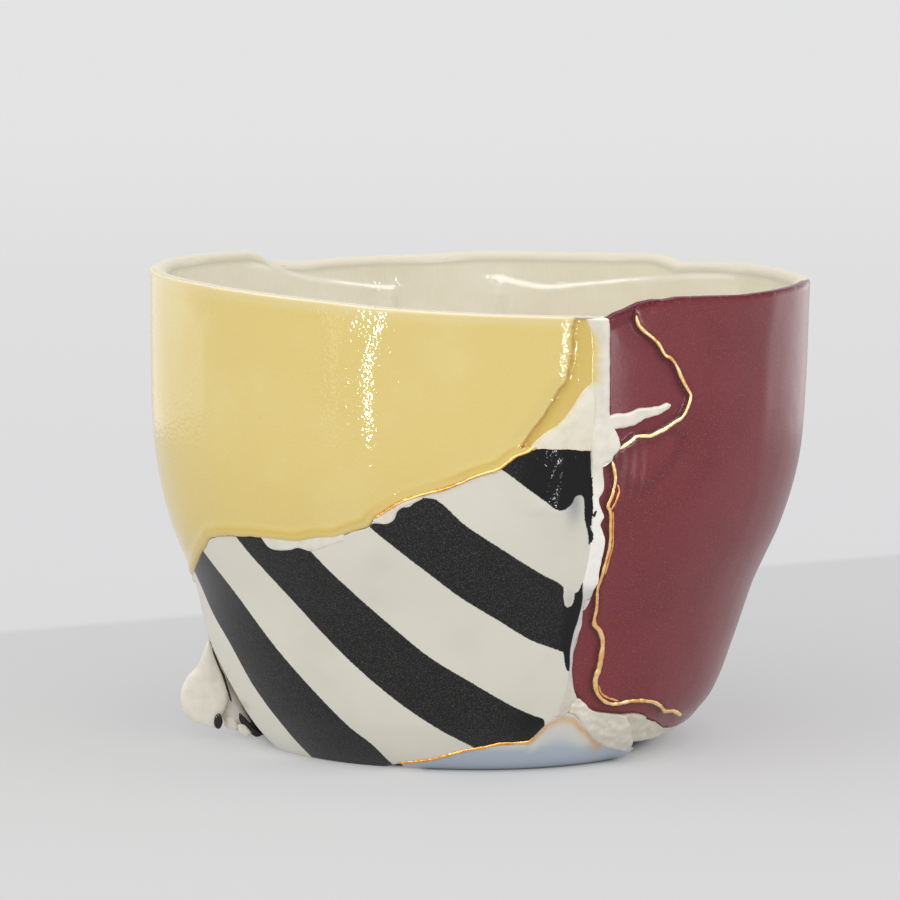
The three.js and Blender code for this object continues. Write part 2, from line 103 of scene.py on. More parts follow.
FOOT_EDGE = [
    (-112.2, 0.8), (-103.5, 1.6), (-99.3, 2.3), (-95.3, 3), (-90.3, 3.6), (-85.5, 4.2), (-80.7, 4.3),
    (-78.5, 4.5), (-77.5, 5.1), (-76.2, 6.1), (-74.7, 7.1), (-72.5, 7.9),
]
FOOT_EDGE_RIGHT = [(-70.7, 8.2), (-68.4, 7.7), (-66.4, 6.7), (-62.8, 5.3), (-60, 3.9), (-57.4, 3.3)]
SEAM_LEFT_EDGE = [
    (-73.8, 7.9), (-72.6, 8.9), (-72.1, 9.9), (-71.7, 11.7), (-71.7, 14.9), (-72, 16.6), (-72, 18),
    (-71.7, 19.8), (-71.2, 21.4), (-70.9, 23.3), (-70.9, 24.5), (-71.2, 26.2), (-71.1, 27.6),
    (-70.9, 29.6), (-70.9, 31.7), (-71, 34.4), (-71.4, 37.7), (-71.6, 41.6), (-71.7, 44.2),
]
SEAM_RIGHT_EDGE = [
    (-68.3, 10.1), (-69.7, 11.9), (-70.4, 13.4), (-70.8, 14.8), (-70.9, 16.6), (-70.9, 17.9), (-70.3, 19.4),
    (-69.9, 20.7), (-70, 22), (-70.1, 23.9), (-69.3, 24.1), (-68.9, 24.6), (-68.8, 25.6), (-68.2, 26.4),
    (-68.4, 27.7), (-68.3, 29.2), (-68.1, 30.9), (-68.2, 32.3), (-68.8, 33.4), (-69.4, 34.4), (-68.8, 35.3),
    (-69.4, 36.3), (-70, 37.4), (-69.9, 38.2), (-69.3, 38.8), (-69.3, 39.9), (-69.6, 41.5), (-69.5, 42.3),
    (-68.1, 42.6), (-67.8, 43.3), (-67, 43.9), (-66.7, 44.4), (-66.9, 45.4), (-67.4, 46.4), (-68.2, 47.4),
    (-68.5, 48.2), (-68.6, 50.5), (-68.7, 61),
]
BURGUNDY_BOTTOM = [
    (-68.7, 10.8), (-66.9, 9.6), (-64.5, 8.4), (-59.5, 7.7), (-53.7, 7.2), (-51.7, 7.2), (-47.5, 6.6),
    (-45.6, 5.9), (-40.7, 5.1), (-34.8, 3.8), (-27.6, 3.1), (0, 3), (46, 3.2),
]
BURGUNDY_BACK_EDGE = [(46, 3.2), (43, 11), (40, 20), (37.5, 31), (36, 40), (30, 62)]
STRIPED_LEFT_EDGE = [(-157, 0), (-159, 2), (-162.5, 7), (-168.5, 13), (-172, 17), (-172, 22.5)]
BLACK_BACK_EDGE = [(-246, 0.4), (-243, 12), (-238, 23), (-230, 32.6)]
BACK_SEAM = [(-268, 0), (-262, 22), (-266, 42), (-263, 62)]

# Black drips that run from the striped piece on to the clay of the seam
SEAM_DRIPS = [
    [(-71.9, 38.4), (-71.6, 35.9), (-71.3, 34.4), (-70.7, 33.3), (-70.6, 32.3), (-71.1, 31.6),
     (-71.4, 32.9), (-72.1, 34.6), (-72.3, 35.9), (-72.6, 38)],
    [(-71.5, 40.6), (-71.2, 38), (-71, 35.2), (-71.25, 35.2), (-71.45, 38), (-71.7, 40.6)],
    [(-70.9, 36.2), (-70.4, 36.3), (-70.5, 35.5), (-70.9, 35.4)],
]


class Slot(Enum):
    """The record's material slots."""

    IVORY = "ivory_porcelain"
    YELLOW = "yellow_porcelain"
    STRIPED = "striped_porcelain"
    BURGUNDY = "burgundy_porcelain"
    BLUE = "pale_blue_porcelain"
    BLACK = "black_porcelain"
    GOLD = "gold"


def smooth_value(stations: Array | Outline, places: Array) -> Array:
    """Read a smooth curve through stations.

    Args:
        stations: (place, value) pairs in rising order of place.
        places: Where the values are wanted.

    Returns:
        The value at each place, held at the first and last value outside the stations.
    """
    at, value = np.array(stations, float).T
    slope = np.gradient(value, at) if len(at) == 2 else np.empty_like(value)
    slope[1:-1] = (value[2:] - value[:-2]) / (at[2:] - at[:-2])
    slope[0] = (value[1] - value[0]) / (at[1] - at[0])
    slope[-1] = (value[-1] - value[-2]) / (at[-1] - at[-2])
    x = np.clip(places, at[0], at[-1])
    i = np.clip(np.searchsorted(at, x, side="right") - 1, 0, len(at) - 2)
    step = at[i + 1] - at[i]
    t = (x - at[i]) / step
    rise = 3 * t**2 - 2 * t**3
    bend = (t**3 - 2 * t**2 + t) * slope[i] + (t**3 - t**2) * slope[i + 1]
    return (1 - rise) * value[i] + rise * value[i + 1] + step * bend


def around(angle: Array, radius: Array, height: Array) -> Array:
    """Points in metres at angles, radii and heights round the cup's axis."""
    turn = np.radians(angle)
    return np.stack([radius * np.cos(turn), radius * np.sin(turn), height + 0 * radius], axis=-1) * MM


def angles_of(points: Array, highest: float = 180) -> Array:
    """Angles of points round the cup's axis in degrees, within the turn that ends at the highest."""
    angle = np.degrees(np.arctan2(points[:, 1], points[:, 0]))
    return np.where(angle > highest, angle - 360, angle)


def ease(value: Array, low: float, high: float) -> Array:
    """Rise smoothly from 0 at low to 1 at high."""
    t = np.clip((np.asarray(value, float) - low) / (high - low), 0, 1)
    return t * t * (3 - 2 * t)


def bump_at(value: Array, centre: float, width: float) -> Array:
    """Height of a soft hump of height 1 round a centre."""
    return np.exp(-(((value - centre) / width) ** 2))


def grain(points: Array, size: float, seed: float) -> Array:
    """Smooth random field from about -1 to 1.

    Args:
        points: Places as rows of two or three coordinates in millimetres.
        size: Size of the lumps in millimetres.
        seed: Offset that makes one field unlike another.

    Returns:
        One value for each place.
    """
    rows = np.zeros((len(points), 3))
    rows[:, : points.shape[1]] = points / size
    rows += seed * 17.3
    return np.array([noise.noise(row) for row in rows.tolist()])


@dataclass(frozen=True)
class Wall:
    """Outer face of the cup, pressed a little out of round.

    The profiles are (height, radius) stations. The facets are (angle, height of the soft corner) where the
    cast wall turns a little more sharply than elsewhere.
    """

    right: Outline = (
        (0, 25), (1.5, 27), (3.5, 28.9), (7, 31.7), (14, 34.4), (22, 37.1), (30, 40.7), (38, 43),
        (46, 43.8),
        (RIM_HEIGHT, 44.4),
    )
    left: Outline = (
        (0, 30), (1.5, 31.2), (3.5, 32.6), (7, 34.4), (14, 37.1), (22, 38.9), (30, 42), (38, 43.8),
        (46, 44.4),
        (RIM_HEIGHT, 44.5),
    )
    front: Outline = (
        (0, 26.8), (1.5, 28.6), (3.5, 30.4), (7, 32.9), (14, 35.8), (22, 38.6), (30, 41.8), (38, 43.8),
        (46, 44.5), (RIM_HEIGHT, 44.8),
    )
    facets: Outline = (
        (-142.7, 0.12), (-114.5, 0.07), (-109, 0.1), (-33, 0.08), (-205, 0.1), (-250, 0.1), (-300, 0.1),
    )
    facet_width: float = 2.6
    facet_lean: float = 2.7
    swelling: tuple[float, float, float] = (-101.5, 6, 0.22)

    def radius(self, angle: Array, height: Array) -> Array:
        """Outer radius at places on the wall.

        Args:
            angle: Angles in degrees.
            height: Heights in millimetres.

        Returns:
            The radii in millimetres.
        """
        toward_side = np.cos(np.radians(angle))
        front = smooth_value(self.front, height)
        side = np.where(toward_side > 0, smooth_value(self.right, height), smooth_value(self.left, height))
        radius = front + (side - front) * toward_side**2
        lean = self.facet_lean * ease(height, 56, RIM_HEIGHT)
        for corner, rise in self.facets:
            radius = radius + rise * bump_at(angle, corner + lean, self.facet_width) * ease(height, 25, 42)
        middle, width, rise = self.swelling
        return radius + rise * bump_at(angle, middle, width) * ease(height, 53, 61)

    def rim(self, angle: Array) -> Array:
        """Height of the rim at angles round the cup."""
        at, height = np.array(RIM_STATIONS, float).T
        return np.interp(np.where(np.asarray(angle) > 30, np.asarray(angle) - 360, angle), at, height)

    def points(self, angle: Array, height: Array, offset: Array | float) -> Array:
        """Points on or beside the wall.

        Args:
            angle: Angles in degrees.
            height: Heights in millimetres.
            offset: How far the points stand out of the outer face, or lie inside it if negative.

        Returns:
            Rows of x, y and z in metres.
        """
        return around(angle, self.radius(angle, height) + offset, height)


WALL = Wall()


def shard_depth(height: Array) -> Array:
    """Thickness of a shard, which thins towards the rim."""
    thinning = SHARD_THICKNESS - SHARD_THICKNESS_AT_RIM
    return SHARD_THICKNESS - thinning * ease(height, THIN_FROM, RIM_HEIGHT)


def wall_depth(height: Array) -> Array:
    """Thickness of the whole wall, which thins towards the rim."""
    thinning = WALL_THICKNESS - WALL_THICKNESS_AT_RIM
    return WALL_THICKNESS - thinning * ease(height, THIN_FROM, RIM_HEIGHT)


def draw(outline: Outline, pitch: float = 0.25, rough: float = 0.0, size: float = 1.2,
         seed: float = 0.0) -> Array:
    """Draw a fine line through an outline's points.

    Args:
        outline: (angle, height) places.
        pitch: Distance between the fine line's points in millimetres.
        rough: How far the line wanders to each side of the smooth one.
        size: Length of the wanderings in millimetres.
        seed: Offset that makes one line unlike another.

    Returns:
        Rows of angle and height. The first and last place don't wander.
    """
    places = np.array(outline, float)
    flat = places * (MM_PER_DEGREE, 1)
    at = np.concatenate([[0], np.cumsum(np.linalg.norm(np.diff(flat, axis=0), axis=1))])
    steps = np.linspace(0, at[-1], max(2, int(at[-1] / pitch) + 1))
    line = np.stack([smooth_value(np.stack([at, flat[:, k]], axis=1), steps) for k in (0, 1)], axis=1)
    if rough:
        along = np.gradient(line, axis=0)
        across = np.stack([-along[:, 1], along[:, 0]], axis=1)
        across /= np.maximum(np.linalg.norm(across, axis=1), 1e-9)[:, None]
        wander = grain(line, size, seed) + 0.5 * grain(line, size / 2.5, seed + 1)
        fade = ease(steps, 0, 1.5) * ease(at[-1] - steps, 0, 1.5)
        line = line + across * (rough * wander * fade)[:, None]
    return line / (MM_PER_DEGREE, 1)


def walk(line: Array, share: Array) -> Array:
    """Places at shares, from 0 to 1, of a fine line's length."""
    flat = line * (MM_PER_DEGREE, 1)
    at = np.concatenate([[0], np.cumsum(np.linalg.norm(np.diff(flat, axis=0), axis=1))])
    return np.stack([np.interp(share * at[-1], at, line[:, k]) for k in (0, 1)], axis=1)


def length_of(line: Array) -> float:
    """Length of a fine line in millimetres."""
    return float(np.linalg.norm(np.diff(line * (MM_PER_DEGREE, 1), axis=0), axis=1).sum())


def distance_to(line: Array, angle: Array, height: Array) -> Array:
    """Measure how far places on the wall are from a fine line.

    Args:
        line: Rows of angle and height.
        angle: Angles of the places in degrees.
        height: Heights of the places in millimetres.

    Returns:
        The distances in millimetres.
    """
    flat = line * (MM_PER_DEGREE, 1)
    places = np.stack([angle.ravel() * MM_PER_DEGREE, height.ravel()], axis=1)
    tree = kdtree.KDTree(len(flat))
    for i, (x, y) in enumerate(flat.tolist()):
        tree.insert((x, y, 0), i)
    tree.balance()
    near = np.array([tree.find((x, y, 0))[1] for x, y in places.tolist()])
    best = np.full(len(places), np.inf)
    for step in (-1, 0):
        start = np.clip(near + step, 0, len(flat) - 2)
        a, along = flat[start], flat[start + 1] - flat[start]
        t = np.clip(((places - a) * along).sum(1) / np.maximum((along**2).sum(1), 1e-12), 0, 1)
        best = np.minimum(best, np.linalg.norm(places - a - along * t[:, None], axis=1))
    return best.reshape(angle.shape)


def within(outline: Outline, angle: Array, height: Array) -> Array:
    """Measure how far places on the wall lie inside a closed outline.

    Args:
        outline: (angle, height) places round it.
        angle: Angles of the places in degrees.
        height: Heights of the places in millimetres.

    Returns:
        Distances to the outline in millimetres, positive inside it and negative outside.
    """
    ring = draw([*outline, outline[0]], 0.3)
    inside = np.zeros(angle.shape, bool)
    for (x0, y0), (x1, y1) in zip(ring[:-1].tolist(), ring[1:].tolist()):
        crosses = (y0 > height) != (y1 > height)
        if y0 != y1:
            inside ^= crosses & (angle < x0 + (height - y0) * (x1 - x0) / (y1 - y0))
    distance = distance_to(ring, angle, height)
    return np.where(inside, distance, -distance)


def round_over(distance: Array, radius: float) -> Array:
    """How far a face has dropped at a distance from its edge, for a quarter round of a radius."""
    short = radius - np.minimum(distance, radius)
    return radius - np.sqrt(np.maximum(radius**2 - short**2, 0))


def steps_along(length: float, pitch: float) -> Array:
    """Space a mesh's lines along a length, closer together near both ends for a rounded edge.

    Args:
        length: The length in millimetres.
        pitch: Distance between the lines away from the ends.

    Returns:
        Their shares of the length, from 0 to 1.
    """
    near = np.array([0, 0.06, 0.16, 0.3, 0.5, 0.75, 1.05]) * min(1, 0.3 * length)
    count = max(1, round((length - 2 * near[-1]) / pitch))
    middle = np.linspace(near[-1], length - near[-1], count + 1)[1:-1]
    return np.concatenate([near, middle, length - near[::-1]]) / length


def climb(line: Array, share: Array) -> Array:
    """Places at shares, from 0 to 1, of a rising fine line's height."""
    height = line[0, 1] + share * (line[-1, 1] - line[0, 1])
    rising = np.maximum.accumulate(line[:, 1]) + np.arange(len(line)) * 1e-9
    return np.stack([np.interp(height, rising, line[:, 0]), height], axis=1)


@dataclass
class Patch:
    """Piece of the wall between four fine lines.

    Bottom and top run left to right, left and right run upwards. An upright patch is narrow and ragged, and
    its rows stay level.
    """

    bottom: Array
    top: Array
    left: Array
    right: Array
    upright: bool = False

    def places(self, across: Array, up: Array) -> tuple[Array, Array]:
        """Angles and heights of a net over the patch.

        Args:
            across: Shares of the way from left to right.
            up: Shares of the way from bottom to top.

        Returns:
            The angles and the heights, each with a row for each share upwards.
        """
        low, high = walk(self.bottom, across), walk(self.top, across)
        rise = climb if self.upright else walk
        start, end = rise(self.left, up), rise(self.right, up)
        u, v = across[None, :, None], up[:, None, None]
        corners = (low[0] * (1 - u) + low[-1] * u) * (1 - v) + (high[0] * (1 - u) + high[-1] * u) * v
        net = low * (1 - v) + high * v + start[:, None] * (1 - u) + end[:, None] * u - corners
        return net[..., 0], net[..., 1]

    @classmethod
    def spanning(cls, bottom: Array, top: Array, right: Array | None = None) -> "Patch":
        """Lay a patch between two lines with straight sides.

        Args:
            bottom: The lower line.
            top: The upper line.
            right: The right side, if it isn't straight.

        Returns:
            The patch.
        """
        left = draw([bottom[0], top[0]], 0.1)
        return cls(bottom, top, left, draw([bottom[-1], top[-1]], 0.1) if right is None else right)

    def rest(self) -> Array:
        """The edges other than the top one, from the upper left to the upper right."""
        return np.concatenate([self.left[::-1], self.bottom, self.right])


def deselect() -> None:
    """Leave object mode's selection empty."""
    if bpy.context.object and bpy.context.object.mode != "OBJECT":
        bpy.ops.object.mode_set(mode="OBJECT")
    bpy.ops.object.select_all(action="DESELECT")


def stacked_rings(name: str, segments: int, count: int) -> bpy.types.Object:
    """Make a disc and extrude its edge upwards again and again, a metre at a time.

    Args:
        name: The piece's name.
        segments: Number of edges round it.
        count: Number of times that the edge is extruded.

    Returns:
        The piece, still in edit mode with its last ring selected.
    """
    deselect()
    bpy.ops.mesh.primitive_circle_add(vertices=segments, radius=1, fill_type="TRIFAN")
    piece = bpy.context.object
    piece.name = piece.data.name = name
    bpy.ops.object.mode_set(mode="EDIT")
    bpy.ops.mesh.select_all(action="DESELECT")
    bpy.ops.mesh.select_mode(type="EDGE")
    bpy.ops.mesh.select_non_manifold()
    for _ in range(count):
        bpy.ops.mesh.extrude_edges_move(TRANSFORM_OT_translate={"value": (0, 0, 1)})
    return piece


def apply_modifier(piece: bpy.types.Object, kind: str, **settings: object) -> None:
    """Add a modifier to a piece and apply it.

    Args:
        piece: The piece.
        kind: Blender's name of the modifier.
        settings: Values of the modifier's settings.
    """
    modifier = piece.modifiers.new(kind.title(), kind)
    for name, value in settings.items():
        setattr(modifier, name, value)
    bpy.context.view_layer.objects.active = piece
    bpy.ops.object.modifier_apply(modifier=modifier.name)


def coordinates(piece: bpy.types.Object) -> Array:
    """A piece's vertices as rows of x, y and z in metres."""
    values = np.empty(len(piece.data.vertices) * 3, np.float32)
    piece.data.vertices.foreach_get("co", values)
    return values.reshape(-1, 3).astype(float)


def place(piece: bpy.types.Object, points: Array) -> None:
    """Move a piece's vertices to new points in metres."""
    piece.data.vertices.foreach_set("co", points.astype(np.float32).ravel())
    piece.data.update()


def mark(piece: bpy.types.Object, name: str, values: Array) -> None:
    """Store one number for each vertex under a name that the materials read."""
    attribute = piece.data.attributes.new(name, "FLOAT", "POINT")
    attribute.data.foreach_set("value", np.asarray(values, np.float32).ravel())


def smooth(piece: bpy.types.Object, degrees: float = 50) -> None:
    """Shade a piece smooth except at sharp edges.

    Args:
        piece: The piece.
        degrees: Angle from which an edge is sharp.
    """
    deselect()
    piece.select_set(True)
    bpy.context.view_layer.objects.active = piece
    bpy.ops.object.shade_smooth_by_angle(angle=math.radians(degrees))


@dataclass
class WallPiece:
    """Sheet of porcelain or clay that lies on the wall.

    Attributes:
        name: The piece's name.
        patch: Where it lies.
        pitch: Size of its mesh in millimetres.
        edge: Radius of its rounded edge.
        top_edge: Radius of its top edge, if that is another.
        depth: Distance of its inner face from the outer face of the wall.
        relief: How far its face stands out at an angle and height.
        marks: Named fields that its material reads.
    """

    name: str
    patch: Patch
    pitch: float = 0.45
    edge: float = 0.6
    top_edge: float | None = None
    depth: Callable[[Array], Array] = shard_depth
    relief: Field = lambda angle, height: 0 * angle
    marks: dict[str, Field] = field(default_factory=dict)

    def build(self) -> bpy.types.Object:
        """Shape a grid to the patch, give it its thickness and store its marks.

        Returns:
            The finished mesh.
        """
        width = 0.5 * (length_of(self.patch.bottom) + length_of(self.patch.top))
        height = 0.5 * (length_of(self.patch.left) + length_of(self.patch.right))
        across, up = steps_along(width, self.pitch), steps_along(height, self.pitch)
        deselect()
        bpy.ops.mesh.primitive_grid_add(x_subdivisions=len(across) - 1, y_subdivisions=len(up) - 1, size=1)
        piece = bpy.context.object
        piece.name = piece.data.name = self.name
        start = coordinates(piece)
        column = np.rint((start[:, 0] + 0.5) * (len(across) - 1)).astype(int)
        row = np.rint((start[:, 1] + 0.5) * (len(up) - 1)).astype(int)
        net_angle, net_height = self.patch.places(across, up)
        angle, level = net_angle[row, column], np.maximum(net_height[row, column], 0)
        last = row == len(up) - 1
        border = (column == 0) | (column == len(across) - 1) | (row == 0)
        below_top = np.where(last, 0, distance_to(self.patch.top, angle, level))
        from_rest = np.where(border, 0, distance_to(self.patch.rest(), angle, level))
        top_drop = round_over(below_top, self.edge if self.top_edge is None else self.top_edge)
        offset = self.relief(angle, level) - np.maximum(top_drop, round_over(from_rest, self.edge))
        outer = WALL.points(angle, level, offset)
        place(piece, outer)
        apply_modifier(piece, "SOLIDIFY", thickness=SHARD_THICKNESS * MM, offset=-1)
        inner = WALL.points(angle, level, -self.depth(level))
        place(piece, np.concatenate([outer, inner]))
        for name, values in self.marks.items():
            mark(piece, name, np.tile(values(angle, level), 2))
        smooth(piece)
        return piece


class Bench:
    """Lays out the nodes of one material."""

    def __init__(self, name: str) -> None:
        """Start a material with its shader.

        Args:
            name: The material's name.
        """
        self.material = bpy.data.materials.new(name)
        self.material.use_nodes = True
        self.nodes = self.material.node_tree.nodes
        self.shader = self.nodes["Principled BSDF"]

    def node(self, kind: str, inputs: dict[str | int, object] | None = None,
             **settings: object) -> bpy.types.Node:
        """Add a node.

        Args:
            kind: Blender's name of the node.
            inputs: Values or sockets for its inputs.
            settings: Values of its own settings.

        Returns:
            The new node.
        """
        made = self.nodes.new(kind)
        for name, value in settings.items():
            setattr(made, name, value)
        for name, value in (inputs or {}).items():
            self.feed(made.inputs[name], value)
        return made

    def feed(self, socket: bpy.types.NodeSocket, value: object) -> None:
        """Link a socket to an input, or set the input's value.

        Args:
            socket: The input.
            value: Another node's output, or a plain value.
        """
        if isinstance(value, bpy.types.NodeSocket):
            self.material.node_tree.links.new(value, socket)
        else:
            socket.default_value = value

    def set(self, **inputs: object) -> None:
        """Set or link the shader's inputs, named with _ for a space."""
        for name, value in inputs.items():
            self.feed(self.shader.inputs[name.replace("_", " ")], value)

    def mark(self, name: str) -> bpy.types.NodeSocket:
        """Read one of the piece's marks."""
        return self.node("ShaderNodeAttribute", attribute_name=name).outputs["Fac"]

    def place(self, stretch: Triple = (1, 1, 1)) -> bpy.types.NodeSocket:
        """Read the place on the piece in millimetres.

        Args:
            stretch: Factors on x, y and z. A pattern looks longer along an axis whose factor is below 1.

        Returns:
            The place's socket.
        """
        metres = self.node("ShaderNodeTexCoord").outputs["Object"]
        scale = tuple(value / MM for value in stretch)
        return self.node("ShaderNodeMapping", {"Vector": metres, "Scale": scale}).outputs["Vector"]

    def noise(self, size: float, detail: float = 2, stretch: Triple = (1, 1, 1)) -> bpy.types.NodeSocket:
        """Soft random field from 0 to 1 with lumps of a size in millimetres."""
        inputs = {"Vector": self.place(stretch), "Scale": 1 / size, "Detail": detail}
        return self.node("ShaderNodeTexNoise", inputs).outputs["Fac"]

    def specks(self, spacing: float, radius: float) -> bpy.types.NodeSocket:
        """Small round specks: 1 at their middles and 0 between them."""
        cells = self.node("ShaderNodeTexVoronoi", {"Vector": self.place(), "Scale": 1 / spacing})
        return self.fade(cells.outputs["Distance"], radius / spacing, 0.3 * radius / spacing)

    def fade(self, value: object, low: float, high: float) -> bpy.types.NodeSocket:
        """0 below low and 1 above high, or the other way round if low is the larger."""
        inputs = {"Value": value, "From Min": low, "From Max": high}
        return self.node("ShaderNodeMapRange", inputs, interpolation_type="SMOOTHSTEP").outputs["Result"]

    def sum(self, operation: str, first: object, second: object) -> bpy.types.NodeSocket:
        """Result of a sum on two numbers."""
        return self.node("ShaderNodeMath", {0: first, 1: second}, operation=operation).outputs[0]

    def mix(self, share: object, first: object, second: object) -> bpy.types.NodeSocket:
        """Mix two colours, each of which is a socket or a plain colour.

        Args:
            share: Share of the second colour, from 0 to 1.
            first: The first colour.
            second: The second colour.

        Returns:
            The mixed colour's socket.
        """
        made = self.node("ShaderNodeMix", data_type="RGBA")
        # The node's colour sockets are its inputs 6 and 7 and its output 2
        for number, value in ((0, share), (6, first), (7, second)):
            self.feed(made.inputs[number], paint(*value) if isinstance(value, tuple) else value)
        return made.outputs[2]

    def tinted(self, colour: object, **stains: Colour) -> bpy.types.NodeSocket:
        """Lay colours over another, each where the piece has the mark of that name."""
        for name, stain in stains.items():
            colour = self.mix(self.mark(name), colour, stain)
        return colour

    def between(self, share: object, first: float, second: float) -> bpy.types.NodeSocket:
        """Number between two, at a share from 0 to 1."""
        inputs = {"Value": share, "To Min": first, "To Max": second}
        return self.node("ShaderNodeMapRange", inputs).outputs[0]

    def bumps(self, *layers: tuple[bpy.types.NodeSocket, float]) -> None:
        """Raise the surface a little.

        Args:
            layers: (field, height in millimetres) of each layer.
        """
        normal = None
        for height, depth in layers:
            inputs = {"Height": height, "Distance": depth * MM, "Strength": 1.0}
            made = self.node("ShaderNodeBump", inputs)
            if normal:
                self.feed(made.inputs["Normal"], normal)
            normal = made.outputs["Normal"]
        self.feed(self.shader.inputs["Normal"], normal)


def paint(red: float, green: float, blue: float) -> tuple[float, float, float, float]:
    """Colour given as it looks on screen, from 0 to 255, for a shader."""
    shares = (value / 255 for value in (red, green, blue))
    return (*(v / 12.92 if v <= 0.04045 else ((v + 0.055) / 1.055) ** 2.4 for v in shares), 1.0)


@dataclass(frozen=True)
class Finish:
    """A finish: its name, its colours as they look on screen, and how its nodes are laid out."""

    name: str

    def lay(self, bench: Bench) -> None:
        """Lay out the nodes.

        Args:
            bench: Where they are laid out.
        """
        raise NotImplementedError

    def make(self) -> bpy.types.Material:
        """Build the material.

        Returns:
            The finished material.
        """
        bench = Bench(self.name)
        self.lay(bench)
        return bench.material


@dataclass(frozen=True)
class YellowGlaze(Finish):
    """Glossy butter yellow that pools to ochre along the broken edges and thins to cream at the rim."""

    name: str = "yellow_glaze"
    body: Colour = (232, 208, 128)
    pale: Colour = (236, 216, 146)
    thin: Colour = (240, 230, 198)
    pooled: Colour = (219, 187, 94)
    crack: Colour = (184, 122, 30)
    speck: Colour = (150, 120, 60)

    def lay(self, bench: Bench) -> None:
        """Lay out the nodes.

        Args:
            bench: Where they are laid out.
        """
        colour = bench.mix(bench.fade(bench.noise(14, 3), 0.4, 0.8), self.body, self.pale)
        colour = bench.tinted(colour, thin=self.thin, pooled=self.pooled, crack=self.crack)
        colour = bench.mix(bench.sum("MULTIPLY", bench.specks(6, 0.14), 0.35), colour, self.speck)
        bench.set(Base_Color=colour, Roughness=bench.between(bench.mark("edge"), 0.07, 0.35))
        bench.set(Specular_IOR_Level=bench.between(bench.mark("edge"), 0.5, 0.12))
        ripples = bench.sum("MULTIPLY", bench.noise(0.5, 1), bench.mark("sparkle"))
        bench.bumps((bench.noise(0.4, 0), 0.028), (bench.noise(1.4, 1), 0.022), (ripples, 0.035))


@dataclass(frozen=True)
class StripedGlaze(Finish):
    """Satin ivory with painted black stripes whose ink is a little grainy."""

    name: str = "striped_glaze"
    ivory: Colour = (229, 225, 211)
    shade: Colour = (222, 218, 203)
    ink: Colour = (18, 17, 18)
    grains: Colour = (64, 63, 61)
    bleed: Colour = (158, 163, 165)

    def lay(self, bench: Bench) -> None:
        """Lay out the nodes.

        Args:
            bench: Where they are laid out.
        """
        wander = bench.between(bench.noise(0.3, 2), -0.12, 0.12)
        black = bench.fade(bench.sum("ADD", bench.mark("ink"), wander), -0.07, 0.07)
        wet = bench.mark("wet")
        ivory = bench.mix(bench.fade(bench.noise(9, 2), 0.4, 0.8), self.ivory, self.shade)
        ivory = bench.tinted(ivory, bleed=self.bleed)
        dry = bench.sum("SUBTRACT", bench.fade(bench.noise(0.15, 0), 0.45, 0.8), wet)
        grainy = bench.mix(dry, self.ink, self.grains)
        bench.set(Base_Color=bench.mix(black, ivory, grainy))
        sheen = bench.sum("MULTIPLY", black, bench.between(wet, 0.18, 0.22))
        bench.set(Specular_IOR_Level=bench.sum("SUBTRACT", 0.5, sheen))
        satin = bench.between(black, 0.2, 0.3)
        bench.set(Roughness=bench.sum("SUBTRACT", satin, bench.sum("MULTIPLY", wet, 0.22)))
        ripples = bench.sum("MULTIPLY", bench.noise(0.45, 1), wet)
        bench.bumps((bench.noise(0.35, 1), 0.012), (bench.noise(1.8, 1), 0.01), (ripples, 0.055))


@dataclass(frozen=True)
class BurgundyGlaze(Finish):
    """Deep glossy wine red with fine pale specks, painted reflection in the hollows and painted shade along
    the gold.
    """

    name: str = "burgundy_glaze"
    body: Colour = (128, 54, 60)
    deep: Colour = (121, 48, 54)
    hollow: Colour = (127, 62, 69)
    dark: Colour = (84, 30, 38)
    streak: Colour = (160, 112, 116)
    speck: Colour = (142, 82, 86)

    def lay(self, bench: Bench) -> None:
        """Lay out the nodes.

        Args:
            bench: Where they are laid out.
        """
        colour = bench.mix(bench.fade(bench.noise(10, 3), 0.35, 0.7), self.body, self.deep)
        # Painted light: the hollow tone is a lighter painted haze of reflection inside the loop, the streaks
        # are painted reflections on the ripples below it, and the shade is painted shade along the gold and
        # on the rim's crest, also darker round the pool's edge.
        colour = bench.tinted(colour, hollow=self.hollow, streak=self.streak, shade=self.dark)
        colour = bench.mix(bench.fade(bench.noise(0.2, 1), 0.5, 0.85), colour, self.speck)
        bench.set(Base_Color=colour, Roughness=bench.between(bench.mark("wet"), 0.26, 0.08))
        dry = bench.sum("MULTIPLY", bench.mark("edge"), bench.fade(bench.noise(0.9, 1), 0.66, 0.6))
        in_hollow = bench.between(bench.mark("hollow"), 0, 0.18)
        shine = bench.sum("SUBTRACT", bench.between(dry, 0.32, 0.05), in_hollow)
        bench.set(Specular_IOR_Level=bench.sum("MAXIMUM", shine, 0.05))
        bench.bumps((bench.noise(0.45, 1), 0.012), (bench.noise(2.0, 1), 0.012))


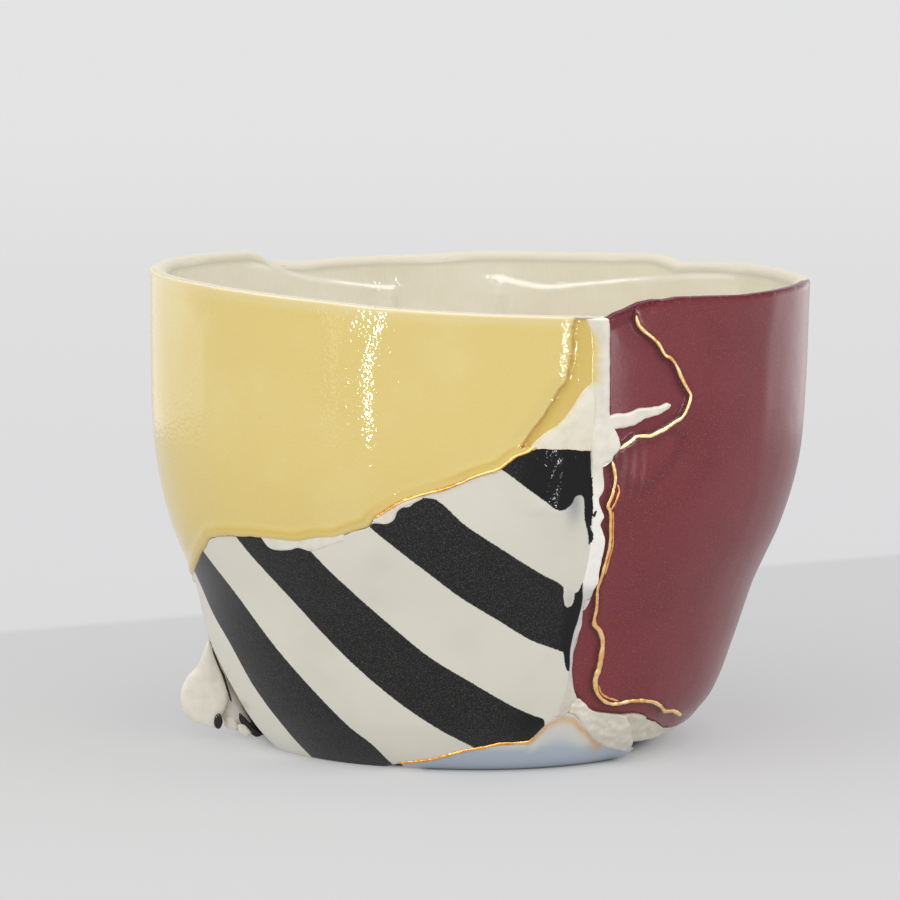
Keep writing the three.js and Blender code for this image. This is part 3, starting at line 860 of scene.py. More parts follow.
@dataclass(frozen=True)
class Slip(Finish):
    """Dry ivory clay that came out of a join, with stains of the glazes beside it and some painted shade in
    warm grey and lilac.
    """

    name: str = "dry_slip"
    clay: Colour = (235, 230, 216)
    shade: Colour = (226, 219, 202)
    pale: Colour = (253, 251, 243)
    dim: Colour = (190, 181, 163)
    ink: Colour = (18, 17, 18)
    lilac: Colour = (196, 195, 201)
    yellow: Colour = (224, 202, 120)

    def lay(self, bench: Bench) -> None:
        """Lay out the nodes.

        Args:
            bench: Where they are laid out.
        """
        colour = bench.mix(bench.fade(bench.noise(1.6, 3), 0.4, 0.75), self.clay, self.shade)
        cloud = bench.between(bench.noise(1.1, 3), 0.4, 1.6)
        # The warm grey is painted shade, and the lilac is partly a stain and partly painted shade.
        stains = {"pale": self.pale, "dim": self.dim, "lilac": self.lilac, "yellow": self.yellow}
        for name, stain in stains.items():
            share = bench.sum("MULTIPLY", bench.mark(name), cloud)
            colour = bench.mix(share, colour, stain)
        wander = bench.between(bench.noise(0.35, 3), -0.22, 0.22)
        black = bench.fade(bench.sum("ADD", bench.mark("ink"), wander), -0.04, 0.04)
        bench.set(Base_Color=bench.mix(black, colour, self.ink))
        bench.set(Roughness=bench.between(black, 0.55, 0.12))
        bench.bumps((bench.noise(0.3, 2), 0.012), (bench.noise(1.1, 2), 0.03))


@dataclass(frozen=True)
class IvoryGlaze(Finish):
    """Glossy ivory glaze of the cast cup, with painted shade on its lip."""

    name: str = "ivory_glaze"
    light: Colour = (232, 227, 211)
    deep: Colour = (226, 219, 200)
    lip: Colour = (208, 202, 183)
    speck: Colour = (150, 130, 100)

    def lay(self, bench: Bench) -> None:
        """Lay out the nodes.

        Args:
            bench: Where they are laid out.
        """
        colour = bench.mix(bench.fade(bench.noise(12, 3), 0.35, 0.7), self.light, self.deep)
        # The darker lip colour is painted shade that keeps the rim's top from looking too bright under the
        # light from above.
        colour = bench.tinted(colour, lip=self.lip)
        colour = bench.mix(bench.sum("MULTIPLY", bench.specks(7, 0.14), 0.4), colour, self.speck)
        bench.set(Base_Color=colour, Roughness=bench.between(bench.mark("lip"), 0.08, 0.6))
        bench.set(Specular_IOR_Level=bench.between(bench.mark("lip"), 0.5, 0.2))
        bench.bumps((bench.noise(0.42, 1, (1, 1, 0.25)), 0.03), (bench.noise(2.2, 1), 0.02))


@dataclass(frozen=True)
class BlueGlaze(Finish):
    """Pale blue glaze that shades to ivory, with a thin wash of gold."""

    name: str = "pale_blue_glaze"
    gold: Colour = (224, 172, 98)
    blue: Colour = (182, 194, 207)
    ivory: Colour = (222, 222, 214)

    def lay(self, bench: Bench) -> None:
        """Lay out the nodes.

        Args:
            bench: Where they are laid out.
        """
        wander = bench.between(bench.noise(3.5, 1, (1, 1, 4)), -0.12, 0.12)
        share = bench.fade(bench.sum("ADD", bench.mark("blue"), wander), 0.05, 0.95)
        colour = bench.mix(share, self.ivory, self.blue)
        wash = bench.sum("MULTIPLY", bench.mark("wash"), bench.between(bench.noise(0.9, 2), 0.55, 1.35))
        colour = bench.mix(wash, colour, self.gold)
        bench.set(Base_Color=colour, Roughness=0.12)
        bench.bumps((bench.noise(0.5, 1), 0.01), (bench.noise(2.2, 1), 0.016))


@dataclass(frozen=True)
class BlackGlaze(Finish):
    """Glossy black glaze."""

    name: str = "black_glaze"
    black: Colour = (20, 18, 19)
    worn: Colour = (34, 31, 32)

    def lay(self, bench: Bench) -> None:
        """Lay out the nodes.

        Args:
            bench: Where they are laid out.
        """
        colour = bench.mix(bench.fade(bench.noise(5, 3), 0.5, 0.8), self.black, self.worn)
        bench.set(Base_Color=colour, Roughness=0.06)
        bench.bumps((bench.noise(0.5, 1), 0.012), (bench.noise(2.2, 1), 0.02))


@dataclass(frozen=True)
class Gold(Finish):
    """Fired gold, bright on its crest and more orange where it lies thin."""

    name: str = "gold_lustre"
    bright: Colour = (255, 222, 164)
    deep: Colour = (242, 188, 110)
    pit: Colour = (120, 76, 30)

    def lay(self, bench: Bench) -> None:
        """Lay out the nodes.

        Args:
            bench: Where they are laid out.
        """
        colour = bench.mix(bench.fade(bench.noise(1.6, 3), 0.4, 0.7), self.bright, self.deep)
        colour = bench.mix(bench.specks(0.9, 0.1), colour, self.pit)
        bench.set(Base_Color=colour, Metallic=1.0, Roughness=bench.between(bench.noise(0.6, 2), 0.25, 0.5))
        bench.bumps((bench.noise(0.25, 2), 0.015))


def dress(piece: bpy.types.Object, material: bpy.types.Material, slot: Slot, *nodes: str) -> None:
    """Give a piece its finish, its body and the solids that it stands for.

    Args:
        piece: The finished piece.
        material: Its material.
        slot: The record's slot that it belongs to. Not used.
        nodes: Names of the solids that it stands for.
    """
    piece.data.materials.clear()
    piece.data.materials.append(material)
    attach(piece, BODY)
    if nodes:
        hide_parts(*nodes)
    log.info("%s: %d faces", piece.name, len(piece.data.polygons))


def rim_line(start: float, end: float, below: float) -> Array:
    """Fine line along the rim between two angles, a little below its crest."""
    angles = np.linspace(start, end, max(3, int(abs(end - start) * 2)))
    return np.stack([angles, WALL.rim(angles) - below], axis=1)


def waves(angle: Array, height: Array, size: float, seed: float) -> Array:
    """Gentle unevenness of a glazed face, from about -1 to 1."""
    flat = np.stack([angle.ravel() * MM_PER_DEGREE, height.ravel()], axis=1)
    return grain(flat, size, seed).reshape(angle.shape)


class Ring(Enum):
    """Kinds of ring in the cast cup's profile, by what its place is measured from."""

    FLOOR = "radius and height from the axis"
    WALL = "depth below the outer face"
    LIP = "depth below the outer face and height above the rim"
    INSIDE = "the wall's own thickness"


@dataclass
class CastCup:
    """The ivory cup inside the shards, whose lip stands just above their upper edges.

    The folds are soft ledges in the glaze inside, as (angle, height) lines. The drips are short upright
    ones, as (angle, height, lean).
    """

    segments: int = 420
    facets: Outline = ((-262, 0.35), (-296, 0.3), (-229, 0.3), (-200, 0.3), (-330, 0.3))
    folds: tuple[Outline, ...] = (
        ((-252, 57.5), (-249.5, 57.7), (-242.2, 58.5), (-235.5, 59.3), (-230.8, 60.2), (-227, 61),
         (-223, 61.6)),
        ((-325, 60.6), (-321.6, 60.4), (-302.8, 59.1), (-290, 58), (-283, 57.5), (-276.9, 58.2),
         (-274, 58.8)),
    )
    fold_depth: float = 0.35
    fold_width: float = 0.85
    drips: tuple[tuple[float, float, float], ...] = ((-253, 57.6, 0.7), (-274.4, 58.2, 0.3))

    def profile(self) -> list[tuple[Ring, float, float]]:
        """Stations from the underside's middle round the lip to the floor's middle.

        Returns:
            (kind, depth or radius, height) stations.
        """
        out = [(Ring.WALL, LINING_INSET, h) for h in np.linspace(FLOOR_UNDERSIDE, 60.6, 26)]
        lip = [(Ring.LIP, inset, above) for inset, above in (
            (LINING_INSET, -1.2), (1.3, -0.8), (0.7, -0.5), (0.4, -0.34), (0.3, -0.22), (0.36, -0.1),
            (0.52, -0.03), (0.8, 0), (1.15, -0.03), (1.5, -0.14), (1.85, -0.36), (2.15, -0.7),
        )]
        rows = [*np.arange(60.9, 55.5, -0.15), *np.arange(55.4, 50, -0.35), *np.linspace(49.8, 14, 40)]
        inside = [(Ring.INSIDE, 0, h) for h in rows]
        corner = [(Ring.WALL, inset, h) for inset, h in (
            (3.3, 12.6), (3.6, 11.2), (4.1, 9.8), (4.8, 8.5), (5.8, 7.3), (7.1, 6.3), (8.8, 5.6),
            (10.8, 5.15),
            (13, 4.9), (16, FLOOR_TOP),
        )]
        floor = [(Ring.FLOOR, radius, FLOOR_TOP) for radius in (14, 11, 8.5, 6, 4, 2.2, 0.8)]
        under = [(Ring.FLOOR, radius, FLOOR_UNDERSIDE) for radius in (1, 8, 16)]
        return [*under, *out, *lip, *inside, *corner, *floor]

    def unevenness(self, angle: Array, height: Array) -> Array:
        """How much thicker the wall is inside, from its facets, folds and drips.

        Args:
            angle: Angles in degrees.
            height: Heights in millimetres.

        Returns:
            The extra thickness in millimetres.
        """
        extra = sum(rise * bump_at(angle, corner, 5) for corner, rise in self.facets) * ease(height, 20, 45)
        for fold in self.folds:
            line = np.array(sorted(fold))
            start, end = line[0, 0], line[-1, 0]
            below = smooth_value(line, angle) - height
            ends = ease(angle, start - 4, start) * (1 - ease(angle, end, end + 4))
            ledge = ease(below, -0.5 * self.fold_width, 0.5 * self.fold_width)
            extra = extra + self.fold_depth * ends * ledge * (1 - ease(below, 2, 9))
        for middle, level, lean in self.drips:
            across = (angle - middle) * MM_PER_DEGREE - lean * (level - height) * 0.3
            length = ease(-height, -level - 2.2, -level + 2.2) * (1 - ease(-height, -level + 3, -level + 9))
            extra = extra + (0.5 + 0.04 * np.sin(4.6 * height)) * bump_at(across, 0, 0.7) * length
        return extra

    def build(self) -> bpy.types.Object:
        """Extrude a ring along the profile and press it out of round.

        Returns:
            The finished mesh.
        """
        stations = self.profile()
        piece = stacked_rings("cast_cup", self.segments, len(stations))
        bpy.ops.mesh.merge(type="CENTER")
        bpy.ops.mesh.select_all(action="SELECT")
        bpy.ops.mesh.flip_normals()
        bpy.ops.object.mode_set(mode="OBJECT")
        self.press(piece, stations)
        smooth(piece, 60)
        return piece

    def press(self, piece: bpy.types.Object, stations: list[tuple[Ring, float, float]]) -> None:
        """Move each ring to its station, as wide and high as the wall is at each angle.

        Args:
            piece: The stacked rings.
            stations: One for each ring.
        """
        start = coordinates(piece)
        ring = np.rint(start[:, 2]).astype(int)
        angle = angles_of(start, 30)
        middle = np.hypot(start[:, 0], start[:, 1]) <= 0.5
        points = np.zeros_like(start)
        rim = WALL.rim(angle)
        for k, (kind, inset, height) in enumerate(stations):
            here = (ring == k) & ~middle
            turn, level = angle[here], np.full(here.sum(), float(height))
            if kind is Ring.FLOOR:
                points[here] = around(turn, inset + 0 * turn, level)
                continue
            if kind is Ring.LIP:
                level += rim[here]
            else:
                level += (rim[here] - RIM_HEIGHT) * ease(level, THIN_FROM, RIM_HEIGHT)
            depth = inset + 0 * level
            if kind is Ring.INSIDE:
                depth = wall_depth(level) + self.unevenness(turn, level)
            points[here] = WALL.points(turn, level, -depth)
        first = next(k for k, station in enumerate(stations) if station[0] is Ring.INSIDE)
        mark(piece, "lip", 1 - ease(ring, first, first + 5))
        points[middle, 2] = np.where(ring[middle] > 1, FLOOR_TOP, FLOOR_UNDERSIDE) * MM
        place(piece, points)

    def make(self) -> None:
        """Build the cup and dress it."""
        dress(self.build(), IvoryGlaze().make(), Slot.IVORY, "porcelain_lining")


@dataclass
class YellowShard:
    """The yellow piece, with a pooled lip below and a lower step beside the seam."""

    step_depth: float = RECESS_DEPTH
    lip_height: float = 0.3
    under_clay: Outline = (
        (-81.4, 44.3), (-79, 45.9), (-76.7, 46.9), (-74.2, 49.2), (-72.6, 51.2), (-71.1, 52.4),
        (-71.1, 58.3), (-71.9, 60.9),
    )

    def __post_init__(self) -> None:
        """Draw the edges."""
        self.lip = draw([*YELLOW_BACK_EDGE[:-1], *YELLOW_LIP, self.under_clay[0]], 0.25, 0.1, 2.4, 4)
        self.right = draw(self.under_clay, 0.2, 0.05, 1.6, 5)
        self.crack = draw(YELLOW_CRACK, 0.2, 0.1, 1.4, 6)

    def crack_angle(self, height: Array) -> Array:
        """Angle of the crack at heights."""
        return np.interp(height, self.crack[:, 1], self.crack[:, 0])

    def stepped(self, angle: Array, height: Array) -> Array:
        """How far a place lies in the lower step, from 0 to 1."""
        past_crack = (angle - self.crack_angle(height)) * MM_PER_DEGREE
        return ease(past_crack, -0.15, 0.3) * (height > self.crack[0, 1])

    def relief(self, angle: Array, height: Array) -> Array:
        """How far the face stands out.

        Args:
            angle: Angles in degrees.
            height: Heights in millimetres.

        Returns:
            The relief in millimetres.
        """
        lip = distance_to(self.lip, angle, height)
        crack = distance_to(self.crack, angle, height)
        step = self.stepped(angle, height)
        lower_end = 1 - 0.6 * ease(angle, -125, -112)
        swell = self.lip_height * ease(2.0 - lip, 0, 1.5) * (1 - step) * lower_end
        main_side = ease(self.crack_angle(height) - angle, 0, 0.2) * (height > 45)
        shoulder = 0.05 * bump_at(crack, 2.0, 0.9) - 0.13 * np.clip(1.6 - crack, 0, 1.6)
        trough = step * (0.3 * ease(angle, -73.1, -71.9) - 0.1) - self.step_depth * step
        chipped = 0.014 * ease(2 - crack, 0, 1.2) + 0.036 * ease(0.7 - crack, 0, 0.4)
        rough = chipped * waves(angle, height, 0.9, 8)
        wavy = 0.035 * waves(angle, height, 9, 7)
        return swell + main_side * shoulder * (1 - step) + trough + rough + wavy

    def pooled(self, angle: Array, height: Array) -> Array:
        """How much the glaze has pooled.

        Args:
            angle: Angles in degrees.
            height: Heights in millimetres.

        Returns:
            Shares from 0 to 1.
        """
        lip = distance_to(self.lip, angle, height)
        line = bump_at(lip, 1.0, 0.35) + 0.35 * ease(1.2 - lip, 0, 0.8)
        along_lip = 0.8 * line * (1 - 0.6 * ease(angle, -112, -106) * (1 - ease(angle, -100, -92)))
        inner_band = 0.65 + 0.35 * bump_at(distance_to(self.crack, angle, height), 0.4, 0.7)
        return np.clip(np.maximum(along_lip, inner_band * self.stepped(angle, height)), 0, 1)

    @staticmethod
    def thin(angle: Array, height: Array) -> Array:
        """How much the glaze has thinned towards the rim, from 0 to 1."""
        above = height - WALL.rim(angle)
        return 0.5 * ease(above, -0.5, -0.2) + 0.28 * ease(above, -2.2, -0.4)

    def make(self) -> None:
        """Build the piece and dress it."""
        top = rim_line(BACK_CORNER, self.under_clay[-1][0], 0.16)
        left = draw([YELLOW_BACK_EDGE[0], (BACK_CORNER, 47), tuple(top[0])])
        self.right[-1] = top[-1]
        piece = WallPiece(
            "yellow_glazed_shard", Patch(self.lip, top, left, self.right),
            pitch=0.38, edge=0.4, top_edge=0.3, relief=self.relief,
            marks={
                "pooled": self.pooled,
                "crack": lambda a, h: 0.8 * bump_at(distance_to(self.crack, a, h), 0, 0.16),
                "thin": self.thin,
                "edge": lambda a, h: ease(h - WALL.rim(a), -0.8, -0.35),
                "sparkle": lambda a, h: ease(2.2 - distance_to(self.crack, a, h), 0, 0.8),
            },
        ).build()
        dress(piece, YellowGlaze().make(), Slot.YELLOW, "yellow_shard")


@dataclass
class StripedShard:
    """The striped piece at the front."""

    stripes: tuple[Outline, ...] = (
        ((-166, 24), (-161.4, 19.7), (-153.4, 15), (-149, 9.8), (-144.3, 5.3), (-141.5, 1.2), (-140, -2),
         (-114, -2), (-116.6, 2.7), (-121.8, 5.9), (-131.5, 12.6), (-142.6, 20.4), (-152.4, 27.4),
         (-156, 30)),
        ((-144, 35), (-139.1, 30.9), (-130.3, 24.1), (-123.7, 19.3), (-115.9, 14.2), (-108, 9.9),
         (-99.6, 6.3), (-92.3, 3.8), (-86, 1.5), (-79, 2), (-76, 4.5), (-75.4, 6.4), (-76, 7.7),
         (-78.3, 8.3), (-83.8, 9.9), (-92.4, 13.2), (-100.5, 16.5), (-108.1, 20.8), (-115.1, 25.3),
         (-121.8, 30.4), (-126, 35)),
        ((-109.6, 34.1), (-104.4, 30.9), (-99.3, 27.9), (-94.1, 24.9), (-86.5, 21.5), (-80.4, 18.9),
         (-76.3, 17.8), (-74.4, 17.3), (-73.4, 17), (-72.7, 15.4), (-71.9, 14.4), (-70, 14.4), (-70, 25),
         (-71.3, 26.6), (-71.8, 25.4), (-72.5, 25.2), (-72.5, 23.9), (-73.2, 23.2), (-74, 23.4),
         (-74.6, 24.6), (-74.9, 26), (-76, 26.7), (-79.6, 28.1), (-86.9, 31.6), (-92.9, 34.7),
         (-97.5, 37.9), (-100, 38.2), (-100.4, 37.9), (-101.3, 37.6), (-102.5, 36.9), (-103.4, 36.9),
         (-104.4, 36.4), (-104.5, 36.2), (-104.9, 35.4), (-105.6, 34.9), (-106.7, 34.6), (-108.8, 34.6),
         (-109.8, 34.2)),
        ((-87.5, 42.3), (-85.1, 41), (-82.1, 39.2), (-79.8, 37.9), (-78.1, 36.9), (-76.8, 36.4),
         (-75.5, 36.7), (-74.6, 37.4), (-74.2, 38.1), (-73.4, 38.4), (-72.8, 38), (-72.5, 36), (-72, 34.6),
         (-69, 34.6), (-69, 47), (-84, 46), (-85.5, 43.3)),
        *map(tuple, SEAM_DRIPS[:1]),
    )
    dent: tuple[float, float] = (-76.8, 39.7)
    dent_radii: tuple[float, float] = (1.5, 3.3)

    def ink(self, angle: Array, height: Array) -> Array:
        """Signed distance to the edge of the nearest stripe, positive in the black."""
        return np.max([within(stripe, angle, height) for stripe in self.stripes], axis=0)

    def bleed(self, angle: Array, height: Array) -> Array:
        """Grey haze in the ivory beside the seam."""
        beside_drip = np.exp(-(((angle + 74.3) / 1.5) ** 2) - ((height - 37.3) / 2.6) ** 2)
        in_drip = np.exp(-(((angle + 73.5) / 1.1) ** 2) - ((height - 24.2) / 1.3) ** 2)
        return 0.95 * beside_drip + 0.4 * in_drip

    def reach(self, angle: Array, height: Array) -> Array:
        """Distance from the dent's middle as a share of its radius."""
        across = (angle - self.dent[0]) * MM_PER_DEGREE - 0.22 * (height - self.dent[1])
        return np.hypot(across / self.dent_radii[0], (height - self.dent[1]) / self.dent_radii[1])

    def relief(self, angle: Array, height: Array) -> Array:
        """How far the face stands out, with the glassy dent near the seam and the bead at a stripe's end.

        Args:
            angle: Angles in degrees.
            height: Heights in millimetres.

        Returns:
            The relief in millimetres.
        """
        reach = self.reach(angle, height)
        valley = -0.5 * bump_at((angle + 75.4) * MM_PER_DEGREE, 0, 2.6) * ease(height, 35.3, 37.3)
        dent = valley - 0.08 * (1 - ease(reach, 0.2, 1.0)) + 0.11 * bump_at(reach, 1.1, 0.32)
        drop = 0.09 * (40.5 - height) * ease(angle, -84, -80) * ease(height, 35.3, 37.3)
        bead = 0.22 * np.exp(-(((angle + 77) / 2.2) ** 2) - ((height - 7) / 1.3) ** 2)
        upper_lip = 0.04 * bump_at(height, 44.1, 0.8) * ease(angle, -85, -82)
        broken = 0.05 * (1 - ease(reach, 1.1, 1.6)) * waves(angle, height, 0.8, 31)
        return dent + drop + bead + upper_lip + broken + 0.03 * waves(angle, height, 8, 11)

    def wet(self, angle: Array, height: Array) -> Array:
        """Where the glaze ran thick and glossy, from 0 to 1."""
        near_seam = ease(angle, -86, -80) * ease(height, 33, 36)
        stripe_end = np.exp(-(((angle + 78) / 4) ** 2) - ((height - 6.5) / 3) ** 2)
        return np.maximum(np.maximum(near_seam, stripe_end), 0.7 * ease(angle, -75, -73))

    def make(self) -> None:
        """Build the piece and dress it."""
        bottom = draw([STRIPED_LEFT_EDGE[0], (-140, 0), (-118, 0), *FOOT_EDGE], 0.25, 0.06, 2, 12)
        below_fill = [(-80, 44.7), (-77, 44.6), (-74, 44.3), (-71, 44.1)]
        top = draw([(-172, 22.8), *YELLOW_LIP, *below_fill], 0.25, 0.05, 1.5, 13)
        left = draw([*STRIPED_LEFT_EDGE[:-1], (-172, 22.8)], 0.25, 0.1, 2, 14)
        beneath = [(a + (0.3 if h < 25 else 0.7), h) for a, h in SEAM_LEFT_EDGE[1:-1]]
        right = draw([FOOT_EDGE[-1], *beneath, (-71, 44.1)], 0.25)
        piece = WallPiece(
            "striped_front_shard", Patch(bottom, top, left, right), pitch=0.3, edge=0.25, relief=self.relief,
            marks={"ink": self.ink, "bleed": self.bleed, "wet": self.wet},
        ).build()
        dress(piece, StripedGlaze().make(), Slot.STRIPED, "striped_shard")


GOLD_LOOP = [
    (-66.7, 44.1), (-66.1, 44.4), (-64.8, 45), (-63.7, 45.6), (-61, 45.6), (-59.1, 46.1), (-57.5, 46.6),
    (-55.7, 47.3), (-55, 47.5), (-54.2, 48.1), (-53.4, 49.2), (-53, 50.4), (-53.7, 51.3), (-54.8, 52.5),
    (-55.9, 54.1), (-57, 55.3), (-58.4, 55.9), (-59.4, 57), (-60.4, 57.9), (-61.8, 58.7), (-63.3, 59.7),
    (-63.8, 60.3), (-64.1, 61.2),
]
GOLD_LONG = [
    (-68, 42.6), (-67.6, 41.5), (-67.3, 40.1), (-67.8, 37.9), (-68.3, 36.8), (-67.8, 36), (-67.4, 33.5),
    (-67.1, 31.5), (-67.4, 29.5), (-67.7, 27.5), (-68.1, 25.4), (-67.6, 23.3), (-67.5, 20.7),
    (-66.2, 19.8), (-65.1, 18.4), (-64.8, 16.3), (-64.9, 14.2), (-65.2, 12.8), (-64.5, 11.4),
    (-63.1, 10.3), (-60.9, 9.4), (-57.8, 9.1), (-54.5, 9.3), (-49.8, 9), (-46.1, 8.4), (-43.2, 7.6),
    (-41.2, 6.9), (-37.5, 6.6), (-30.9, 5.4),
]


@dataclass
class BurgundyShard:
    """The burgundy piece, hollowed inside the gold loop and beside the long gold line.

    The pool is the outline of the thicker glaze below the loop.
    """

    hollow_depth: float = 0.5
    pool: Outline = (
        (-68.2, 43.6), (-67, 41.2), (-64.8, 39.2), (-62, 38.3), (-59.5, 39.2), (-56.8, 41), (-54.6, 43),
        (-53.8, 45.4), (-57, 46.6), (-61, 45.6), (-65, 44.8),
    )

    def inside_loop(self, angle: Array, height: Array) -> Array:
        """Signed distance into the loop, positive inside."""
        return within([*GOLD_LOOP, (-64.3, 66), (-76, 66), (-76, 44)], angle, height)

    def beside_line(self, angle: Array, height: Array) -> Array:
        """Signed distance past the long gold line, positive on the side of the seam and the foot."""
        return within([*GOLD_LONG, (-14, 3.2), (-14, -3), (-78, -3), (-78, 43), (-68.6, 43)], angle, height)

    def relief(self, angle: Array, height: Array) -> Array:
        """How far the face stands out.

        Args:
            angle: Angles in degrees.
            height: Heights in millimetres.

        Returns:
            The relief in millimetres.
        """
        loop, beside = self.inside_loop(angle, height), self.beside_line(angle, height)
        below_rim = 1 - ease(height - WALL.rim(angle), -1.5, -0.6)
        hollow = ease(loop, -0.2, 0.45) * below_rim + ease(beside, -0.15, 0.4) * (1 - ease(angle, -38, -24))
        rolled = 0.06 * bump_at(loop, -0.8, 0.7) + 0.1 * bump_at(beside, -0.7, 0.6)
        pillow = 0.12 * ease(loop, 0.6, 3.2)
        dimple = -0.14 * ease(within(self.pool, angle, height), 0, 2.4) * (1 - ease(loop, -1, 0))
        reeds = 0.06 * self.reeds(angle, height)
        wavy = 0.035 * waves(angle, height, 9, 21) + 0.02 * waves(angle, height, 3, 24)
        return rolled + pillow + dimple + reeds - self.hollow_depth * hollow + wavy

    @staticmethod
    def reeds(angle: Array, height: Array) -> Array:
        """Wavy upright ripples below the loop, from -1 to 1."""
        across = np.sin((angle + 66 + 0.04 * (height - 42) ** 2) * 3.4)
        return across * ease(angle, -67.8, -66.8) * (1 - ease(angle, -62.3, -61)) * bump_at(height, 42, 2.8)

    def wet(self, angle: Array, height: Array) -> Array:
        """Where the glaze ran thick and glossy, from 0 to 1."""
        hollows = ease(np.maximum(self.inside_loop(angle, height), self.beside_line(angle, height)), -1, 0)
        pool = 0.8 * ease(within(self.pool, angle, height), 0.2, 1.8)
        crest = 0.7 * ease(height - WALL.rim(angle), -1.2, -0.4)
        return np.clip(np.max([0.2 * hollows, pool, crest], axis=0), 0, 1)

    def shade(self, angle: Array, height: Array) -> Array:
        """How much painted shade lies along the gold and on the crest of the rim, and how much darker it is
        round the pool's edge.

        Args:
            angle: Angles in degrees.
            height: Heights in millimetres.

        Returns:
            Shares from 0 to 1.
        """
        loop, beside = self.inside_loop(angle, height), self.beside_line(angle, height)
        beside_gold = np.maximum(bump_at(loop, 0.35, 0.35), bump_at(beside, 0.3, 0.35))
        outline = 0.6 * np.maximum(bump_at(loop, -0.42, 0.16), bump_at(beside, -0.42, 0.16))
        crest = 0.8 * ease(height - WALL.rim(angle), -0.35, -0.05)
        pool = 0.5 * bump_at(within(self.pool, angle, height), 0.5, 0.9)
        return 0.85 * np.max([beside_gold, outline, crest, pool], axis=0)

    def make(self) -> None:
        """Build the piece and dress it."""
        top = rim_line(-69.3, BURGUNDY_BACK_EDGE[-1][0], -0.05)
        top[:, 1] -= 0.3 * ease(top[:, 0], -12, 0)
        top[:, 1] += 0.28 * ease(top[:, 0], -69.2, -67.6) * (1 - ease(top[:, 0], -61, -58))
        beneath = [(a - 0.4, h) for a, h in SEAM_RIGHT_EDGE[1:-1]]
        left = draw([BURGUNDY_BOTTOM[0], *beneath, tuple(top[0])])
        right = draw([*BURGUNDY_BACK_EDGE[:-1], tuple(top[-1])], 0.25, 0.08, 2, 22)
        bottom = draw(BURGUNDY_BOTTOM, 0.25, 0.1, 1.8, 23)
        piece = WallPiece(
            "burgundy_glazed_shard", Patch(bottom, top, left, right),
            pitch=0.38, edge=0.5, top_edge=0.35, relief=self.relief,
            marks={
                # The next two marks also lay painted reflection in the colour: a lighter haze inside the
                # loop and streaks on the ripples below it.
                "hollow": lambda a, h: ease(self.inside_loop(a, h), 0, 0.8),
                "streak": lambda a, h: 0.6 * np.maximum(self.reeds(a, h), 0) * (self.inside_loop(a, h) < 0),
                "edge": lambda a, h: ease(h - WALL.rim(a), -0.9, -0.3),
                "shade": self.shade,
                "wet": self.wet,
            },
        ).build()
        dress(piece, BurgundyGlaze().make(), Slot.BURGUNDY, "burgundy_shard")


@dataclass
class BackShards:
    """The black, pale blue and striped pieces round the back, and the pale blue foot."""

    stripe_pitch: float = 11.5
    stripe_width: float = 6.6
    stripe_middle: tuple[float, float] = (-297.0, 62.0)

    def stripes(self, angle: Array, height: Array) -> Array:
        """Signed distance to the edge of the nearest slanting stripe, positive in the black."""
        below = height - self.stripe_middle[1]
        across = 0.5 * (angle - self.stripe_middle[0]) * MM_PER_DEGREE + 0.8 * below + 0.004 * below**2
        phase = np.mod(across + 0.5 * self.stripe_pitch, self.stripe_pitch) - 0.5 * self.stripe_pitch
        return 0.5 * self.stripe_width - np.abs(phase)

    def black(self) -> None:
        """Black piece low at the back left."""
        bottom = draw([BLACK_BACK_EDGE[0], (-210, 0.3), (-180, 0.3), (-175.5, 0.3)])
        top = draw([BLACK_BACK_EDGE[-1], *YELLOW_BACK_EDGE[1:4], (-173, 22)], 0.25, 0.1, 2, 31)
        left = draw(BLACK_BACK_EDGE, 0.25, 0.1, 2, 32)
        right = draw([(-175.5, 0.3), (-176, 8), (-175, 15), (-173, 22)], 0.25, 0.1, 2, 33)
        piece = WallPiece(
            "black_back_shard", Patch(bottom, top, left, right), pitch=0.6, edge=0.5,
            relief=lambda a, h: 0.04 * waves(a, h, 8, 34) - 0.15,
        ).build()
        dress(piece, BlackGlaze().make(), Slot.BLACK, "black_shard")

    def blue(self) -> None:
        """Pale blue piece at the back."""
        top = rim_line(BACK_SEAM[-1][0], BACK_CORNER - 1, 0.3)
        bottom = draw([BACK_SEAM[0], (-257, 0), BLACK_BACK_EDGE[0]])
        left = draw([*BACK_SEAM[:-1], tuple(top[0])], 0.25, 0.08, 2, 35)
        right = draw([*BLACK_BACK_EDGE, (BACK_CORNER - 1, 47), tuple(top[-1])], 0.25, 0.05, 2, 36)
        piece = WallPiece(
            "blue_back_shard", Patch(bottom, top, left, right), pitch=0.55, edge=0.5, top_edge=0.4,
            relief=lambda a, h: 0.04 * waves(a, h, 9, 37), marks={"blue": lambda a, h: ease(h, 66, 22)},
        ).build()
        dress(piece, BlueGlaze().make(), Slot.BLUE, "pale_blue_shard")

    def striped(self) -> None:
        """Striped piece at the back, down to the foot."""
        top = rim_line(-330, BACK_SEAM[-1][0], 0.2)
        bottom = draw([(-314, 0), (-290, 0), BACK_SEAM[0]])
        edge = [(a - 360, h) for a, h in BURGUNDY_BACK_EDGE]
        left = draw([(-314, 0), *edge[:-1], tuple(top[0])], 0.25, 0.06, 2, 38)
        right = draw([*BACK_SEAM[:-1], tuple(top[-1])], 0.25, 0.08, 2, 39)
        piece = WallPiece(
            "striped_rear_shard", Patch(bottom, top, left, right), pitch=0.5, edge=0.4, top_edge=0.5,
            relief=lambda a, h: 0.04 * waves(a, h, 9, 40), marks={"ink": self.stripes},
        ).build()
        dress(piece, StripedGlaze().make(), Slot.STRIPED, "striped_back_shard")

    def make(self) -> None:
        """Build and dress the pieces."""
        self.black()
        self.blue()
        self.striped()


